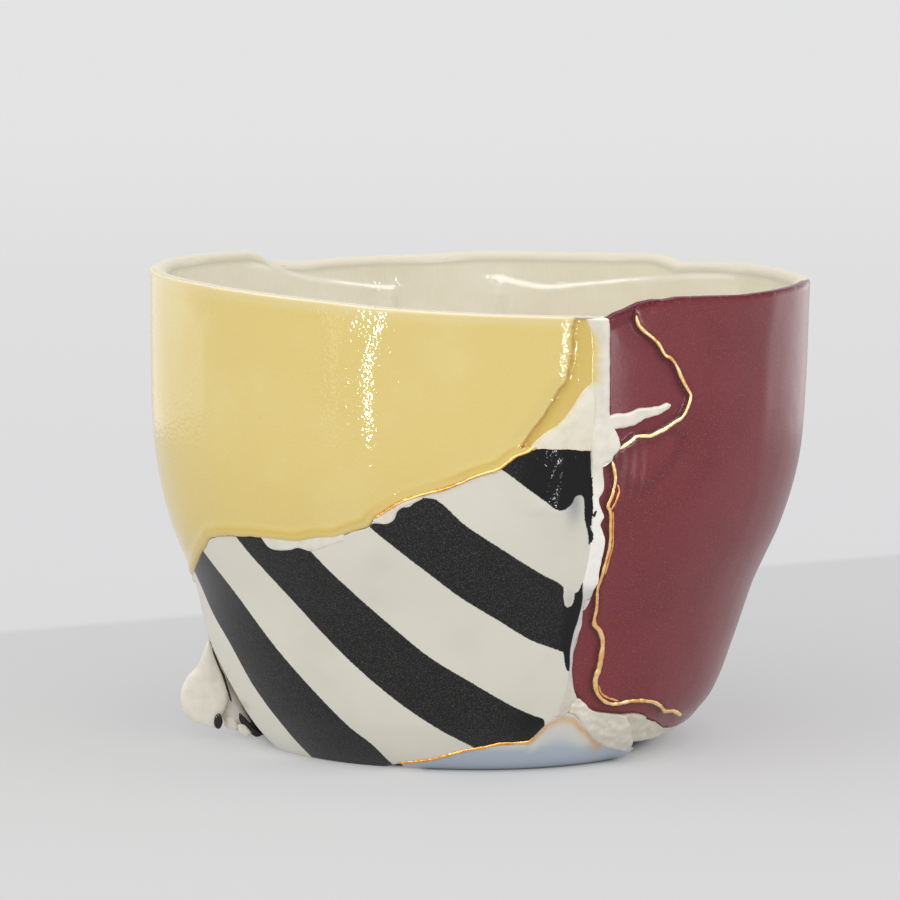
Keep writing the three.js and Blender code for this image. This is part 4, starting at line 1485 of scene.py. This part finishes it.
@dataclass
class Foot:
    """The pale blue foot: a flat disc under the floor and its edge that rises at the front."""

    inset: float = 1.7
    bevel: float = 0.4
    segments: int = 240
    wash: Outline = (
        (-78.6, 4.3), (-77.3, 4.9), (-76, 5.8), (-74.6, 6.7), (-72.5, 7.4), (-70.7, 7.6), (-68.5, 7.1),
        (-66.5, 6.2), (-63, 4.8), (-60.3, 3.5), (-58, 2.8),
    )

    def reach(self, angle: Array) -> Array:
        """How far the foot stands out of the wall's lowest line, or lies inside it if negative."""
        turned = np.where(angle > 60, angle - 360, angle)
        in_front = ease(turned, -109, -105) * (1 - ease(turned, -49, -44))
        at_right = ease(turned, -45, -38) * (1 - ease(turned, 30, 50))
        return -self.inset + 1.2 * in_front - 1.6 * at_right

    def disc(self) -> bpy.types.Object:
        """Flat disc under the floor, which draws back under the clay at the right.

        Returns:
            The finished mesh.
        """
        deselect()
        bpy.ops.mesh.primitive_cylinder_add(vertices=self.segments, radius=1, depth=1, location=(0, 0, 0))
        piece = bpy.context.object
        piece.name = piece.data.name = "foot_disc"
        start = coordinates(piece)
        angle = angles_of(start)
        radius = WALL.radius(angle, 0 * angle) + self.reach(angle)
        place(piece, around(angle, radius, np.where(start[:, 2] > 0, FOOT_THICKNESS, 0)))
        apply_modifier(piece, "BEVEL", width=self.bevel * MM, segments=4, limit_method="ANGLE")
        mark(piece, "blue", np.ones(len(piece.data.vertices)))
        smooth(piece)
        return piece

    def rising_edge(self) -> bpy.types.Object:
        """Edge that shows at the front, blue at the bottom and ivory at its peak.

        Returns:
            The finished mesh.
        """
        bottom = draw([(-112.2, 0), (-80, 0), (-42.5, 0)])
        top = draw([*FOOT_EDGE, *FOOT_EDGE_RIGHT, (-52, 2.6), (-47, 1.9), (-42.5, 1.5)], 0.2, 0.05)
        top[:, 1] += 0.35 * ease(top[:, 0], -79, -76) * (1 - ease(top[:, 0], -60, -52))
        wash = draw(self.wash, 0.2, 0.08, 1.0, 45)
        return WallPiece(
            "foot_front", Patch.spanning(bottom, top), pitch=0.35, edge=0.45, top_edge=0.25,
            relief=lambda a, h: 0.03 * waves(a, h, 6, 44),
            marks={
                "blue": lambda a, h: 1 - ease(h, 2.4, 4.6),
                "wash": lambda a, h: 0.9 * bump_at(distance_to(wash, a, h), 0, 0.42),
            },
        ).build()

    def make(self) -> None:
        """Build and dress the foot."""
        glaze = BlueGlaze().make()
        dress(self.disc(), glaze, Slot.BLUE, "pale_blue_foot")
        dress(self.rising_edge(), glaze, Slot.BLUE)


@dataclass
class Lump:
    """Soft lump that hangs beside the wall: a ball pressed to an outline and flattened.

    Attributes:
        name: The piece's name.
        outline: (x, z) places round it in millimetres.
        depth: Its middle's y and half its thickness.
        rough: Height of its unevenness.
        seed: Offset of its unevenness.
        flatness: How round its face is: 1 for a ball's, less for a flat slab with a rounded edge.
        stain: Strength of the lilac stain, if it is clay. On the flap's root it is painted shade.
    """

    name: str
    outline: Outline
    depth: tuple[float, float]
    rough: float = 0.12
    seed: float = 100
    flatness: float = 0.7
    stain: float = 0.0

    def build(self) -> bpy.types.Object:
        """Press a ball to the outline.

        Returns:
            The finished mesh.
        """
        deselect()
        bpy.ops.mesh.primitive_uv_sphere_add(segments=72, ring_count=36, radius=1)
        piece = bpy.context.object
        piece.name = piece.data.name = self.name
        start = coordinates(piece)
        ring = np.array([*self.outline, self.outline[0]], float)
        middle = ring[:-1].mean(axis=0)
        turns = np.linspace(0, 1, len(ring))
        share = np.mod(np.arctan2(start[:, 1], start[:, 0]) / (2 * math.pi), 1)
        edge = np.stack([smooth_value(np.stack([turns, ring[:, k]], axis=1), share) for k in (0, 1)], axis=1)
        width = np.hypot(start[:, 0], start[:, 1]) ** self.flatness
        flat = middle + (edge - middle) * width[:, None]
        thick = np.sign(start[:, 2]) * np.abs(start[:, 2]) ** self.flatness * self.depth[1]
        points = np.stack([flat[:, 0], self.depth[0] + thick, flat[:, 1]], axis=1)
        away = points - [middle[0], self.depth[0], middle[1]]
        away /= np.maximum(np.linalg.norm(away, axis=1), 1e-6)[:, None]
        uneven = grain(points, 2.2, self.seed) + 0.5 * grain(points, 0.8, self.seed + 1)
        points += away * (self.rough * uneven)[:, None]
        points[:, 2] = np.maximum(points[:, 2], 0.05)
        place(piece, points * MM)
        mark(piece, "ink", np.full(len(points), -5.0))
        mark(piece, "lilac", np.full(len(points), self.stain))
        smooth(piece, 80)
        return piece


@dataclass
class SlipWork:
    """The clay that came out through the joins."""

    rib_height: float = 0.35
    flap_outline: Outline = (
        (-34.3, 8.2), (-34.6, 9.5), (-35.3, 10.8), (-36, 12.4), (-36.7, 13.4), (-37.3, 12.4), (-38.3, 10),
        (-39.8, 8.3), (-40.6, 6.4), (-40.4, 4.4), (-39.3, 2.8), (-37.3, 1.9), (-35.8, 1.6), (-35, 3.2),
        (-34.2, 5.2), (-34, 6.8),
    )
    flap_root: Outline = (
        (-31, 2), (-32.2, 4.4), (-33.4, 7), (-34.6, 9.6), (-35.6, 8), (-35.6, 4), (-34.5, 1.6),
        (-32.5, 0.8),
    )

    def __post_init__(self) -> None:
        """Make the clay's finish."""
        self.clay = Slip().make()

    @staticmethod
    def root(height: Array) -> Array:
        """Depth at which the clay is rooted in the cast cup."""
        return ROOT_DEPTH + 0 * height

    def piece(self, name: str, patch: Patch, relief: Field, edge: float = 0.35, pitch: float = 0.2,
              **stains: Field) -> None:
        """Build and dress one piece of clay.

        Args:
            name: The piece's name.
            patch: Where it lies.
            relief: How far its face stands out.
            edge: Radius of its rounded edge.
            pitch: Size of its mesh.
            stains: Fields of the stains that it has, and of its painted shade.
        """
        marks: dict[str, Field] = {"ink": lambda angle, height: 0 * angle - 5}
        for stain in ("lilac", "yellow", "pale", "dim"):
            marks[stain] = lambda angle, height: 0 * angle
        made = WallPiece(name, patch, pitch, edge, None, self.root, relief, {**marks, **stains}).build()
        dress(made, self.clay, Slot.IVORY)

    def seam(self) -> None:
        """Rib that runs from the rim to the foot, with a ragged right edge."""
        beside_step = [
            (-71.8, 48), (-71.8, 52), (-71.7, 52.9), (-71.8, 55.6), (-71.7, 58.2), (-72.3, 60), (-72.8, 61),
        ]
        left = draw([*SEAM_LEFT_EDGE, *beside_step], 0.15, 0.05, 1.1, 51)
        right = draw(SEAM_RIGHT_EDGE, 0.12, 0.04, 0.9, 52)
        bottom = draw([left[0], (-71, 8.1), right[0]], 0.15)
        top = draw([left[-1], (-70.6, 61), right[-1]], 0.15)

        def across(angle: Array, height: Array) -> Array:
            """Distance from the rib's left edge in millimetres."""
            return (angle - np.interp(height, left[:, 1], left[:, 0])) * MM_PER_DEGREE

        def relief(angle: Array, height: Array) -> Array:
            """How far the rib stands out. It rises above the foot and falls away beside the step.

            Args:
                angle: Angles in degrees.
                height: Heights in millimetres.

            Returns:
                The relief in millimetres.
            """
            beside = across(angle, height)
            rib = self.rib_height * ease(height, 23.6, 26)
            knot = 0.22 * bump_at(height, 44.4, 1.9) * ease(angle, -69.5, -67.5)
            upper_part = -0.62 + 0.5 * ease(beside, 0, 1.6) + 0.12 * bump_at(beside, 1.75, 0.4)
            foot_part = 0.25 * (1 - ease(height, 9.5, 12))
            rough = 0.07 * waves(angle, height, 1.6, 53) + 0.035 * waves(angle, height, 0.6, 54)
            return rib + knot + upper_part * ease(height, 44.5, 49) + foot_part - 0.08 + rough

        def ink(angle: Array, height: Array) -> Array:
            """Signed distance to the edge of the nearest black drip, positive in it."""
            return np.max([within(drip, angle, height) for drip in SEAM_DRIPS], axis=0)

        def yellow(angle: Array, height: Array) -> Array:
            """Yellow stain beside the step."""
            beside = across(angle, height)
            tinted = ease(height, 51.5, 53.5) * (1 - ease(height, 57.5, 60)) * ease(-beside, -1.7, 0)
            return tinted + 0.3 * ease(height, 56, 60) * ease(-beside, -0.9, 0)

        def lilac(angle: Array, height: Array) -> Array:
            """Lilac stain in the lower half, and painted shade in lilac on the rib's crest beside the step.
            """
            lower = 0.65 * ease(-height, -27, -24) * ease(height, 11, 14)
            upper = 0.15 * ease(height, 46, 52) * bump_at(across(angle, height), 1.1, 0.5)
            return np.maximum(lower, upper)

        # Painted shade in warm grey low on the rib, where it meets the foot.
        self.piece(
            "slip_seam", Patch(bottom, top, left, right, upright=True), relief, edge=0.32, pitch=0.16,
            ink=ink, yellow=yellow, lilac=lilac, dim=lambda a, h: 0.5 * (1 - ease(h, 10, 14)),
            pale=lambda a, h: 1.6 * ease(h, 24, 28) * (1 - ease(h, 35, 42)),
        )

    def fill(self) -> None:
        """Clay that fills the corner below the yellow step."""
        bottom = draw([(-82, 44.35), (-77.2, 44.1), (-71.2, 43.7)], 0.15, 0.12, 0.9, 55)
        top = draw([*FILL_TOP[:-1], (-71.2, 53.2)], 0.15, 0.05, 1.5, 57)
        left = draw([(-82, 44.6), FILL_TOP[0]], 0.1)
        right = draw([(-71.2, 44), (-71.2, 53.2)], 0.15)

        def relief(angle: Array, height: Array) -> Array:
            """How far the fill stands out. It slopes back towards the step."""
            slope = ease(height - np.interp(angle, [-82, -71.7], [43, 50]), 0, 3)
            return 0.04 - 0.39 * slope + 0.04 * waves(angle, height, 2.2, 56)

        def yellow(angle: Array, height: Array) -> Array:
            """Faint yellow stain, stronger along the step."""
            return 0.14 + 0.3 * ease(0.5 - distance_to(top, angle, height), 0, 0.5)

        self.piece("slip_fill", Patch(bottom, top, left, right), relief, edge=0.14, yellow=yellow)

    def sliver(self) -> None:
        """Thin wedge that lies across the hollow in the burgundy piece."""
        below = [(-69.2, 46.7), (-66, 46.8), (-64, 47.1), (-62, 47.8), (-59.5, 48.2), (-57.3, 48.9)]
        above = [(-69.2, 48.3), (-67.3, 48.7), (-65.5, 48.7), (-63, 49.2), (-59.6, 49.3), (-57.6, 49.7)]
        tip = draw([(-57.3, 48.9), (-56.9, 49.4), (-57.6, 49.7)], 0.1)
        patch = Patch.spanning(draw(below, 0.1, 0.1, 0.7), draw(above, 0.1, 0.06), tip)
        self.piece("slip_sliver", patch, lambda a, h: 0.15 + 0.05 * waves(a, h, 1, 58), pitch=0.14)

    def front_layer(self) -> None:
        """Clay below the burgundy piece, torn off at its right end."""
        below = [
            (-70, 8.4), (-68.5, 8.1), (-65.9, 6.6), (-62.5, 4.6), (-58.1, 3.2), (-53.7, 2.2), (-45.4, 1.2),
        ]
        above = [(-70, 9.8), (-68.3, 10.4), (-66.6, 9.6), (-64.3, 8.5), (-59.5, 7.8), (-54.6, 7.3)]
        torn = [(-45.4, 1.2), (-47.4, 2.4), (-49.4, 3.7), (-51.4, 4.9), (-53.4, 6.3), (-54.6, 7.3)]

        def relief(angle: Array, height: Array) -> Array:
            """How far the layer stands out. It bulges low at its right end."""
            bulge = 0.65 * ease(angle, -70, -54) * ease(-height, -8.5, -4.5)
            rough = 0.28 * waves(angle, height, 1.8, 63) + 0.16 * waves(angle, height, 0.7, 64)
            ridges = 0.05 * np.sin(height * 4 + angle * 0.6 + 5 * waves(angle, height, 3, 69))
            return 0.15 + bulge + rough + ridges

        right = draw(torn, 0.1, 0.1, 0.8, 62)
        patch = Patch.spanning(draw(below, 0.15, 0.08, 1.5, 60), draw(above, 0.15, 0.05, 1.2, 61), right)
        # Painted shade in warm grey towards the layer's right end.
        self.piece(
            "slip_front_layer", patch, relief, edge=0.25, pitch=0.16,
            dim=lambda a, h: 0.3 * ease(a, -66, -62),
            lilac=lambda a, h: 0.4 * ease(a, -58, -50) * ease(-h, -3.6, -2.2),
        )

    def rear_layer(self) -> None:
        """Clay that lies behind the front layer and runs on to the right."""
        below = [(-56, 3), (-47.5, 2.7), (-39.4, 2.4), (-31, 2.5), (-24, 2.6)]
        above = [(-56, 7.4), (-51.7, 7.3), (-47.5, 6.7), (-45.6, 6), (-40.7, 5.2), (-34.8, 3.9), (-24, 3.2)]

        def relief(angle: Array, height: Array) -> Array:
            """How far the layer stands out."""
            rough = 0.2 * waves(angle, height, 2, 67) + 0.09 * waves(angle, height, 0.7, 68)
            ridges = 0.14 * np.sin(height * 4 + angle * 0.25 + 4 * waves(angle, height, 3, 69))
            return rough + ridges - 0.1

        patch = Patch.spanning(draw(below, 0.15, 0.08, 1.4, 65), draw(above, 0.15, 0.05, 1.2, 66))
        # Painted shade in warm grey over the whole rear layer.
        self.piece("slip_rear_layer", patch, relief, edge=0.3, pitch=0.16, dim=lambda a, h: 0.5 + 0 * a)

    def pockets(self) -> None:
        """White clay in two notches of the striped piece's upper edge."""
        left_below = [
            (-132.6, 31.4), (-131.3, 30.2), (-129.7, 29.9), (-126.2, 30.1), (-124.3, 30.5), (-121.4, 30.2),
            (-118, 31.1), (-114.5, 32),
        ]
        left_above = [(-132.6, 31.9), (-124, 31.9), (-114.5, 33)]
        right_below = [
            (-108.8, 34.7), (-106.7, 34.5), (-105.6, 34.8), (-104.9, 35.3), (-104.4, 36.2), (-103.4, 36.8),
            (-101.3, 37.5), (-99.9, 38),
        ]
        right_above = [(-108.8, 35.2), (-106.5, 36.3), (-104.7, 37.2), (-103, 37.9), (-99.9, 38.7)]
        pockets = {
            "slip_pocket_left": (left_below, left_above, lambda a, h: 0.12 + 0.05 * waves(a, h, 1.6, 70)),
            "slip_pocket_right": (right_below, right_above, lambda a, h: 0.12 + 0.05 * waves(a, h, 1.6, 71)),
        }
        for name, (below, above, relief) in pockets.items():
            patch = Patch.spanning(draw(below, 0.15), draw(above, 0.15))
            self.piece(name, patch, relief, edge=0.3, pitch=0.16)

    def flap(self) -> None:
        """Loose flap of clay at the lower left and the root that it hangs from."""
        flap = Lump("slip_flap", self.flap_outline, (-3.5, 1.3), rough=0.1, seed=101, flatness=0.36)
        dress(flap.build(), self.clay, Slot.IVORY)
        # The root's lilac tint is painted shade in the gap beside the flap.
        root = Lump("slip_flap_root", self.flap_root, (-1.5, 2.2), 0.14, 102, flatness=0.8, stain=0.4)
        dress(root.build(), self.clay, Slot.IVORY)

    def crumbs(self) -> None:
        """Drops of black glaze and crumbs of clay where the flap is torn off, and a thin black strip that is
        painted shadow in the gap beside the flap.
        """
        black = BlackGlaze().make()
        # A thin black strip along the flap's right edge: painted shadow in the gap.
        gap_shadow = [
            (-36.3, 12.9), (-35.8, 11.8), (-35.2, 10.3), (-34.5, 8.6), (-33.9, 6.7), (-33.6, 5.5),
            (-33.8, 5.5), (-34.2, 6.8), (-34.8, 8.7), (-35.5, 10.4), (-36.1, 12),
        ]
        drop = [
            (-34.9, 2.6), (-35.1, 3.5), (-35.5, 3.7), (-35.9, 3.3), (-36.1, 2.5), (-35.8, 1.7),
            (-35.3, 1.6), (-35, 2),
        ]
        bit = [
            (-32, 3.2), (-32.8, 4.3), (-33.4, 4.6), (-34.2, 4.2), (-34.2, 3.1), (-33.4, 2.6), (-32.6, 2.2),
        ]
        tip = [(-29.4, 0.5), (-30.8, 1.6), (-32, 3), (-32.7, 3.6), (-32.6, 2.4), (-31.6, 1.2), (-30.4, 0.2)]
        drops = {
            "painted_gap_shadow": (gap_shadow, (-5.2, 0.2)),
            "black_drop": (drop, (-4.8, 0.5)),
            "black_shard_bit": (bit, (-2.6, 0.6)),
            "black_shard_tip": (tip, (-3.4, 0.5)),
        }
        for name, (outline, depth) in drops.items():
            lump = Lump(name, outline, depth, rough=0.16, seed=103, flatness=0.5)
            dress(lump.build(), black, Slot.BLACK)
        crumb = [(-32.8, 2.2), (-33.4, 2.9), (-34.3, 2.9), (-34.7, 1.8), (-33.8, 1.2), (-32.9, 1.4)]
        chip = [(-31, 0.9), (-31.8, 1.9), (-32.8, 2), (-32.6, 1), (-31.6, 0.4)]
        for name, outline, depth in (("slip_crumb", crumb, (-3.2, 0.6)), ("slip_chip", chip, (-4.0, 0.4))):
            dress(Lump(name, outline, depth, rough=0.1, seed=104).build(), self.clay, Slot.IVORY)

    def back_ribs(self) -> None:
        """Narrow ribs in the joins round the back."""
        below_yellow = [(-228.6, 32.6), (-215, 29.6), (-200, 24.7), (-185, 21.2), (-173, 22)]
        routes = {
            "slip_back_seam": (BACK_SEAM[:-1] + [(-263.2, 61.6)], 1.1),
            "slip_black_edge": (BLACK_BACK_EDGE, 0.9),
            "slip_corner": ([(-229.3, 32.4), (-229.4, 47), (-229.4, 61.4)], 0.9),
            "slip_yellow_back": (below_yellow, 0.8),
        }
        for k, (name, (route, width)) in enumerate(routes.items()):
            self.rib(name, route, width, 80 + 3 * k)

    def rib(self, name: str, route: Outline, width: float, seed: float) -> None:
        """Narrow ribbon of clay along a route.

        Args:
            name: The piece's name.
            route: Its middle line.
            width: Its width in millimetres.
            seed: Offset of its unevenness.
        """
        line = draw(route, 0.2) * (MM_PER_DEGREE, 1)
        along = np.gradient(line, axis=0)
        side = np.stack([-along[:, 1], along[:, 0]], axis=1) / np.linalg.norm(along, axis=1)[:, None]
        spread = 0.5 * width * (1 + 0.45 * grain(line, 2.5, seed))[:, None]
        first = (line - side * spread) / (MM_PER_DEGREE, 1)
        second = (line + side * spread) / (MM_PER_DEGREE, 1)
        if along[len(along) // 2, 1] ** 2 > along[len(along) // 2, 0] ** 2:
            lower, upper = np.stack([second[0], first[0]]), np.stack([second[-1], first[-1]])
            patch = Patch(lower, upper, second, first)
        else:
            patch = Patch(first, second, np.stack([first[0], second[0]]), np.stack([first[-1], second[-1]]))
        self.piece(name, patch, lambda a, h: 0.3 + 0.1 * waves(a, h, 1.4, seed + 1), 0.35, 0.25)

    def make(self) -> None:
        """Build and dress all the clay."""
        self.seam()
        self.fill()
        self.sliver()
        self.front_layer()
        self.rear_layer()
        self.pockets()
        self.flap()
        self.crumbs()
        self.back_ribs()


@dataclass
class GoldLines:
    """Uneven beads of gold along the broken edges.

    A swell is a row of (height, factor) stations where a bead is wider or narrower.
    """

    long_swell: Outline = (
        (5, 0.9), (9.5, 0.9), (10.5, 0.8), (12.5, 1.3), (15, 1.45), (18, 1.2), (20.5, 1.15), (22, 0.8),
        (30, 0.75), (40, 0.8), (43, 0.9),
    )
    lip_swell: Outline = ((33, 0.5), (36, 0.7), (38.5, 1), (40.5, 0.7), (42, 1.1), (45, 1))
    thin_bright: Colour = (255, 196, 118)
    thin_deep: Colour = (232, 160, 76)

    def bead(self, name: str, route: Outline, material: bpy.types.Material, node: str | None,
             radius: float, lift: float, seed: float, swell: Outline | None = None) -> None:
        """Lay one bead along a route on the wall.

        Args:
            name: The piece's name.
            route: (angle, height) places.
            material: Its finish.
            node: The solid that it stands for.
            radius: Half its width in millimetres.
            lift: How far its middle stands out of the wall.
            seed: Offset of its unevenness.
            swell: (height, factor) stations where it is wider or narrower.
        """
        line = draw(route, 0.22, 0.05, 0.9, seed)
        flat = line * (MM_PER_DEGREE, 1)
        points = WALL.points(line[:, 0], line[:, 1], lift)
        deselect()
        bpy.ops.curve.primitive_nurbs_path_add()
        bead = bpy.context.object
        bead.name = name
        curve = bead.data
        curve.splines.clear()
        spline = curve.splines.new("POLY")
        spline.points.add(len(points) - 1)
        wide = 1 + 0.3 * grain(flat, 1.6, seed + 1) + 0.2 * grain(flat, 0.6, seed + 2)
        if swell:
            wide = wide * smooth_value(swell, line[:, 1])
        count = np.arange(len(line))
        taper = np.minimum(1, 0.35 + np.minimum(count, count[::-1]) / 3)
        for point, co, size in zip(spline.points, points.tolist(), (wide * taper).tolist()):
            point.co = (*co, 1)
            point.radius = size
        curve.dimensions = "3D"
        curve.bevel_depth = radius * MM
        curve.bevel_resolution = 3
        curve.use_fill_caps = True
        deselect()
        bead.select_set(True)
        bpy.context.view_layer.objects.active = bead
        bpy.ops.object.convert(target="MESH")
        bead = bpy.context.object
        bead.data.name = name
        self.settle(bead, lift, seed)
        smooth(bead, 70)
        dress(bead, material, Slot.GOLD, *([node] if node else []))

    @staticmethod
    def settle(bead: bpy.types.Object, lift: float, seed: float) -> None:
        """Flatten a bead a little on to the wall and make its skin uneven.

        Args:
            bead: The bead's mesh.
            lift: How far its middle stands out of the wall.
            seed: Offset of its unevenness.
        """
        points = coordinates(bead) / MM
        angle, height = angles_of(points, 60), points[:, 2]
        offset = np.hypot(points[:, 0], points[:, 1]) - WALL.radius(angle, height)
        uneven = 0.05 * grain(points, 0.5, seed + 3)
        place(bead, WALL.points(angle, height, lift + 0.75 * (offset - lift) + uneven))

    def make(self) -> None:
        """Lay all the gold."""
        bright = Gold().make()
        thin = Gold("gold_thin", self.thin_bright, self.thin_deep).make()
        self.bead("gold_loop_line", GOLD_LOOP, bright, "gold_line_loop", 0.24, 0.12, 91)
        self.bead("gold_long_line", GOLD_LONG, bright, "gold_line_burgundy", 0.28, 0.1, 92, self.long_swell)
        strands = {
            "gold_strand_high": [(-66.9, 39.6), (-66.5, 38.8), (-66.7, 37.8), (-67.2, 36.9), (-67.6, 36.3)],
            "gold_strand_middle": [(a + 0.5, h) for a, h in GOLD_LONG[5:10]],
            "gold_strand_corner": [(-64, 12), (-63.3, 11.1), (-61.6, 10.3), (-59.4, 9.8), (-58, 9.5)],
        }
        for k, (name, route) in enumerate(strands.items()):
            self.bead(name, route, thin, None, 0.13, 0.1, 97 + k)
        lip, back = [*YELLOW_LIP[15:], (-81.6, 44.9)], [*BURGUNDY_BACK_EDGE[:-1], (31, 61.2)]
        self.bead("gold_lip_line", lip, thin, "gold_line_yellow", 0.17, 0.1, 94, self.lip_swell)
        self.bead("gold_foot_line", FOOT_EDGE[:9], thin, "gold_line_foot", 0.22, 0.02, 95)
        self.bead("gold_back_line", back, bright, "gold_line_back", 0.3, 0.05, 96)


@dataclass(frozen=True)
class PaleFloor(Finish):
    """Matte pale finish that glows a little, so that shadows on it stay light.

    The floor is lighter beyond a line that slants behind the cup. Its glow is painted light, lighter towards
    the front, with a painted contact shadow round the foot.
    """

    name: str = "pale_floor"
    body: Colour = (142, 142, 143)
    beside: Colour = (162, 162, 163)
    front: Colour = (175, 175, 175)
    behind: Colour = (177, 177, 178)
    far: Colour = (186, 186, 186)
    contact_shadow_glow: Colour = (20, 20, 20)
    contact_shadow_body: Colour = (60, 60, 60)
    slant: float = 0.58

    def lay(self, bench: Bench) -> None:
        """Lay out the nodes.

        Args:
            bench: Where they are laid out.
        """
        axes = bench.node("ShaderNodeSeparateXYZ", {"Vector": bench.place()})
        across, back = axes.outputs["X"], axes.outputs["Y"]
        past_line = bench.sum("SUBTRACT", back, bench.sum("MULTIPLY", across, self.slant))
        # Painted light: the glow is lighter towards the front.
        glow = bench.mix(bench.fade(back, 100, -110), self.beside, self.front)
        glow = bench.mix(bench.fade(past_line, 127, 134), glow, self.behind)
        glow = bench.mix(bench.fade(back, 150, 1400), glow, self.far)
        # Painted contact shadow: glow and colour darken round the foot.
        contact = bench.mark("contact")
        glow = bench.mix(contact, glow, self.contact_shadow_glow)
        bench.set(Base_Color=bench.mix(contact, self.body, self.contact_shadow_body), Roughness=1.0)
        bench.set(Specular_IOR_Level=0.0, Emission_Color=glow, Emission_Strength=1.0)


@dataclass
class Studio:
    """Pale floor, soft light and the camera.

    The contact shadow is given as (distance from the foot, darkness) stations, and both soft lights as the
    direction that they come from and the angle that they fill. The cards face the cup's axis, no higher than
    the aim height.
    """

    camera_place: Triple = (-4.09, -690.06, 123.75)
    camera_tilt: float = 83.0
    lens: float = 205.3
    sensor: float = 36.0
    floor_radius: float = 6000.0
    floor_segments: int = 240
    contact: Outline = ((0, 0.95), (0.5, 0.7), (1.1, 0.35), (2, 0.15), (3.2, 0.05), (5, 0), (0, 0))
    room_strength: float = 0.75
    key_strength: float = 0.93
    key_from: Triple = (-0.3, -0.6, 0.72)
    key_spread: float = 70.0
    fill_strength: float = 0.42
    fill_from: Triple = (0.8, -0.25, 0.5)
    fill_spread: float = 80.0
    aim_height: float = 45.0

    def camera(self) -> None:
        """Camera in front of the cup, a little above it."""
        place_m = [value * MM for value in self.camera_place]
        tilt = (math.radians(self.camera_tilt), 0, 0)
        bpy.ops.object.camera_add(location=place_m, rotation=tilt)
        camera = bpy.context.object
        camera.data.lens = self.lens
        camera.data.sensor_width = self.sensor
        camera.data.clip_start = 0.01
        bpy.context.scene.camera = camera

    def floor(self) -> None:
        """Wide pale floor, darker where the foot touches it."""
        floor = stacked_rings("floor", self.floor_segments, len(self.contact))
        bpy.ops.object.mode_set(mode="OBJECT")
        start = coordinates(floor)
        ring = np.rint(start[:, 2]).astype(int)
        angle = angles_of(start)
        away, dark = np.array([(-0.6, 1.0), *self.contact]).T
        wider = 1 + 1.3 * ease(angle, -60, -35) * (1 - ease(angle, 20, 60))
        radius = WALL.radius(angle, 0 * angle) + Foot().reach(angle) + away[ring] * wider
        radius = np.where(ring == len(self.contact), self.floor_radius, radius)
        radius[np.hypot(start[:, 0], start[:, 1]) < 0.5] = 0
        place(floor, around(angle, radius, 0 * angle))
        mark(floor, "contact", dark[ring])
        floor.data.materials.append(PaleFloor().make())

    def card(self, name: str, place_mm: Triple, size: tuple[float, float], brightness: float) -> None:
        """Bright rectangle that faces the cup and shows only in its glossy reflections.

        Args:
            name: Its name.
            place_mm: Its middle in millimetres.
            size: Its width and height in millimetres.
            brightness: How bright it is, where 1 is as bright as white paper.
        """
        bpy.ops.object.light_add(type="AREA", location=[value * MM for value in place_mm])
        light = bpy.context.object
        light.name = name
        light.data.shape = "RECTANGLE"
        light.data.size, light.data.size_y = (value * MM for value in size)
        light.data.energy = brightness * math.pi * light.data.size * light.data.size_y
        aim = Vector((0, 0, min(self.aim_height, place_mm[2]) * MM)) - light.location
        light.rotation_euler = aim.to_track_quat("-Z", "Y").to_euler()
        light.visible_diffuse = False
        light.visible_camera = False

    @staticmethod
    def soft_light(name: str, strength: float, comes_from: Triple, spread: float) -> None:
        """Wide soft light from one side, which doesn't show in reflections.

        Args:
            name: Its name.
            strength: How bright it is.
            comes_from: Direction that it comes from.
            spread: Angle that it fills, in degrees.
        """
        bpy.ops.object.light_add(type="SUN")
        light = bpy.context.object
        light.name = name
        light.data.energy = strength
        light.data.angle = math.radians(spread)
        light.rotation_euler = Vector(comes_from).to_track_quat("Z", "Y").to_euler()
        light.visible_glossy = False

    def lights(self) -> None:
        """Even light all round, two soft lights and narrow cards that draw the highlights."""
        world = bpy.data.worlds.new("soft_room")
        bpy.context.scene.world = world
        world.use_nodes = True
        background = world.node_tree.nodes["Background"]
        background.inputs["Color"].default_value = (1, 1, 1, 1)
        background.inputs["Strength"].default_value = self.room_strength
        self.soft_light("key_light", self.key_strength, self.key_from, self.key_spread)
        self.soft_light("fill_light", self.fill_strength, self.fill_from, self.fill_spread)
        self.card("card_left", (-172, -240, 54), (12, 112), 34)
        self.card("card_beside", (-219, -190, 40), (12, 80), 1.7)
        self.card("card_right", (196, -214, 54), (10, 112), 50)
        self.card("panel_left", (-222, 202, 70), (260, 140), 0.42)
        self.card("panel_right", (212, 212, 70), (240, 140), 0.72)
        self.card("card_above", (0, 0, 800), (1500, 1500), 5)
        self.card("card_front", (-60, -640, 400), (460, 70), 14)
        bpy.context.scene.view_settings.view_transform = "Standard"

    def make(self) -> None:
        """Set up the camera, the floor and the lights."""
        self.camera()
        self.floor()
        self.lights()


def main() -> None:
    """Build the cup round the frame, piece by piece."""
    logging.basicConfig(level=logging.INFO, format="%(message)s")
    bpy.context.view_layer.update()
    kinds = (
        Studio, CastCup, YellowShard, StripedShard, BurgundyShard, BackShards, Foot, SlipWork, GoldLines,
    )
    for kind in kinds:
        kind().make()
        log.info("made %s", kind.__name__)


if __name__ == "__main__":
    main()
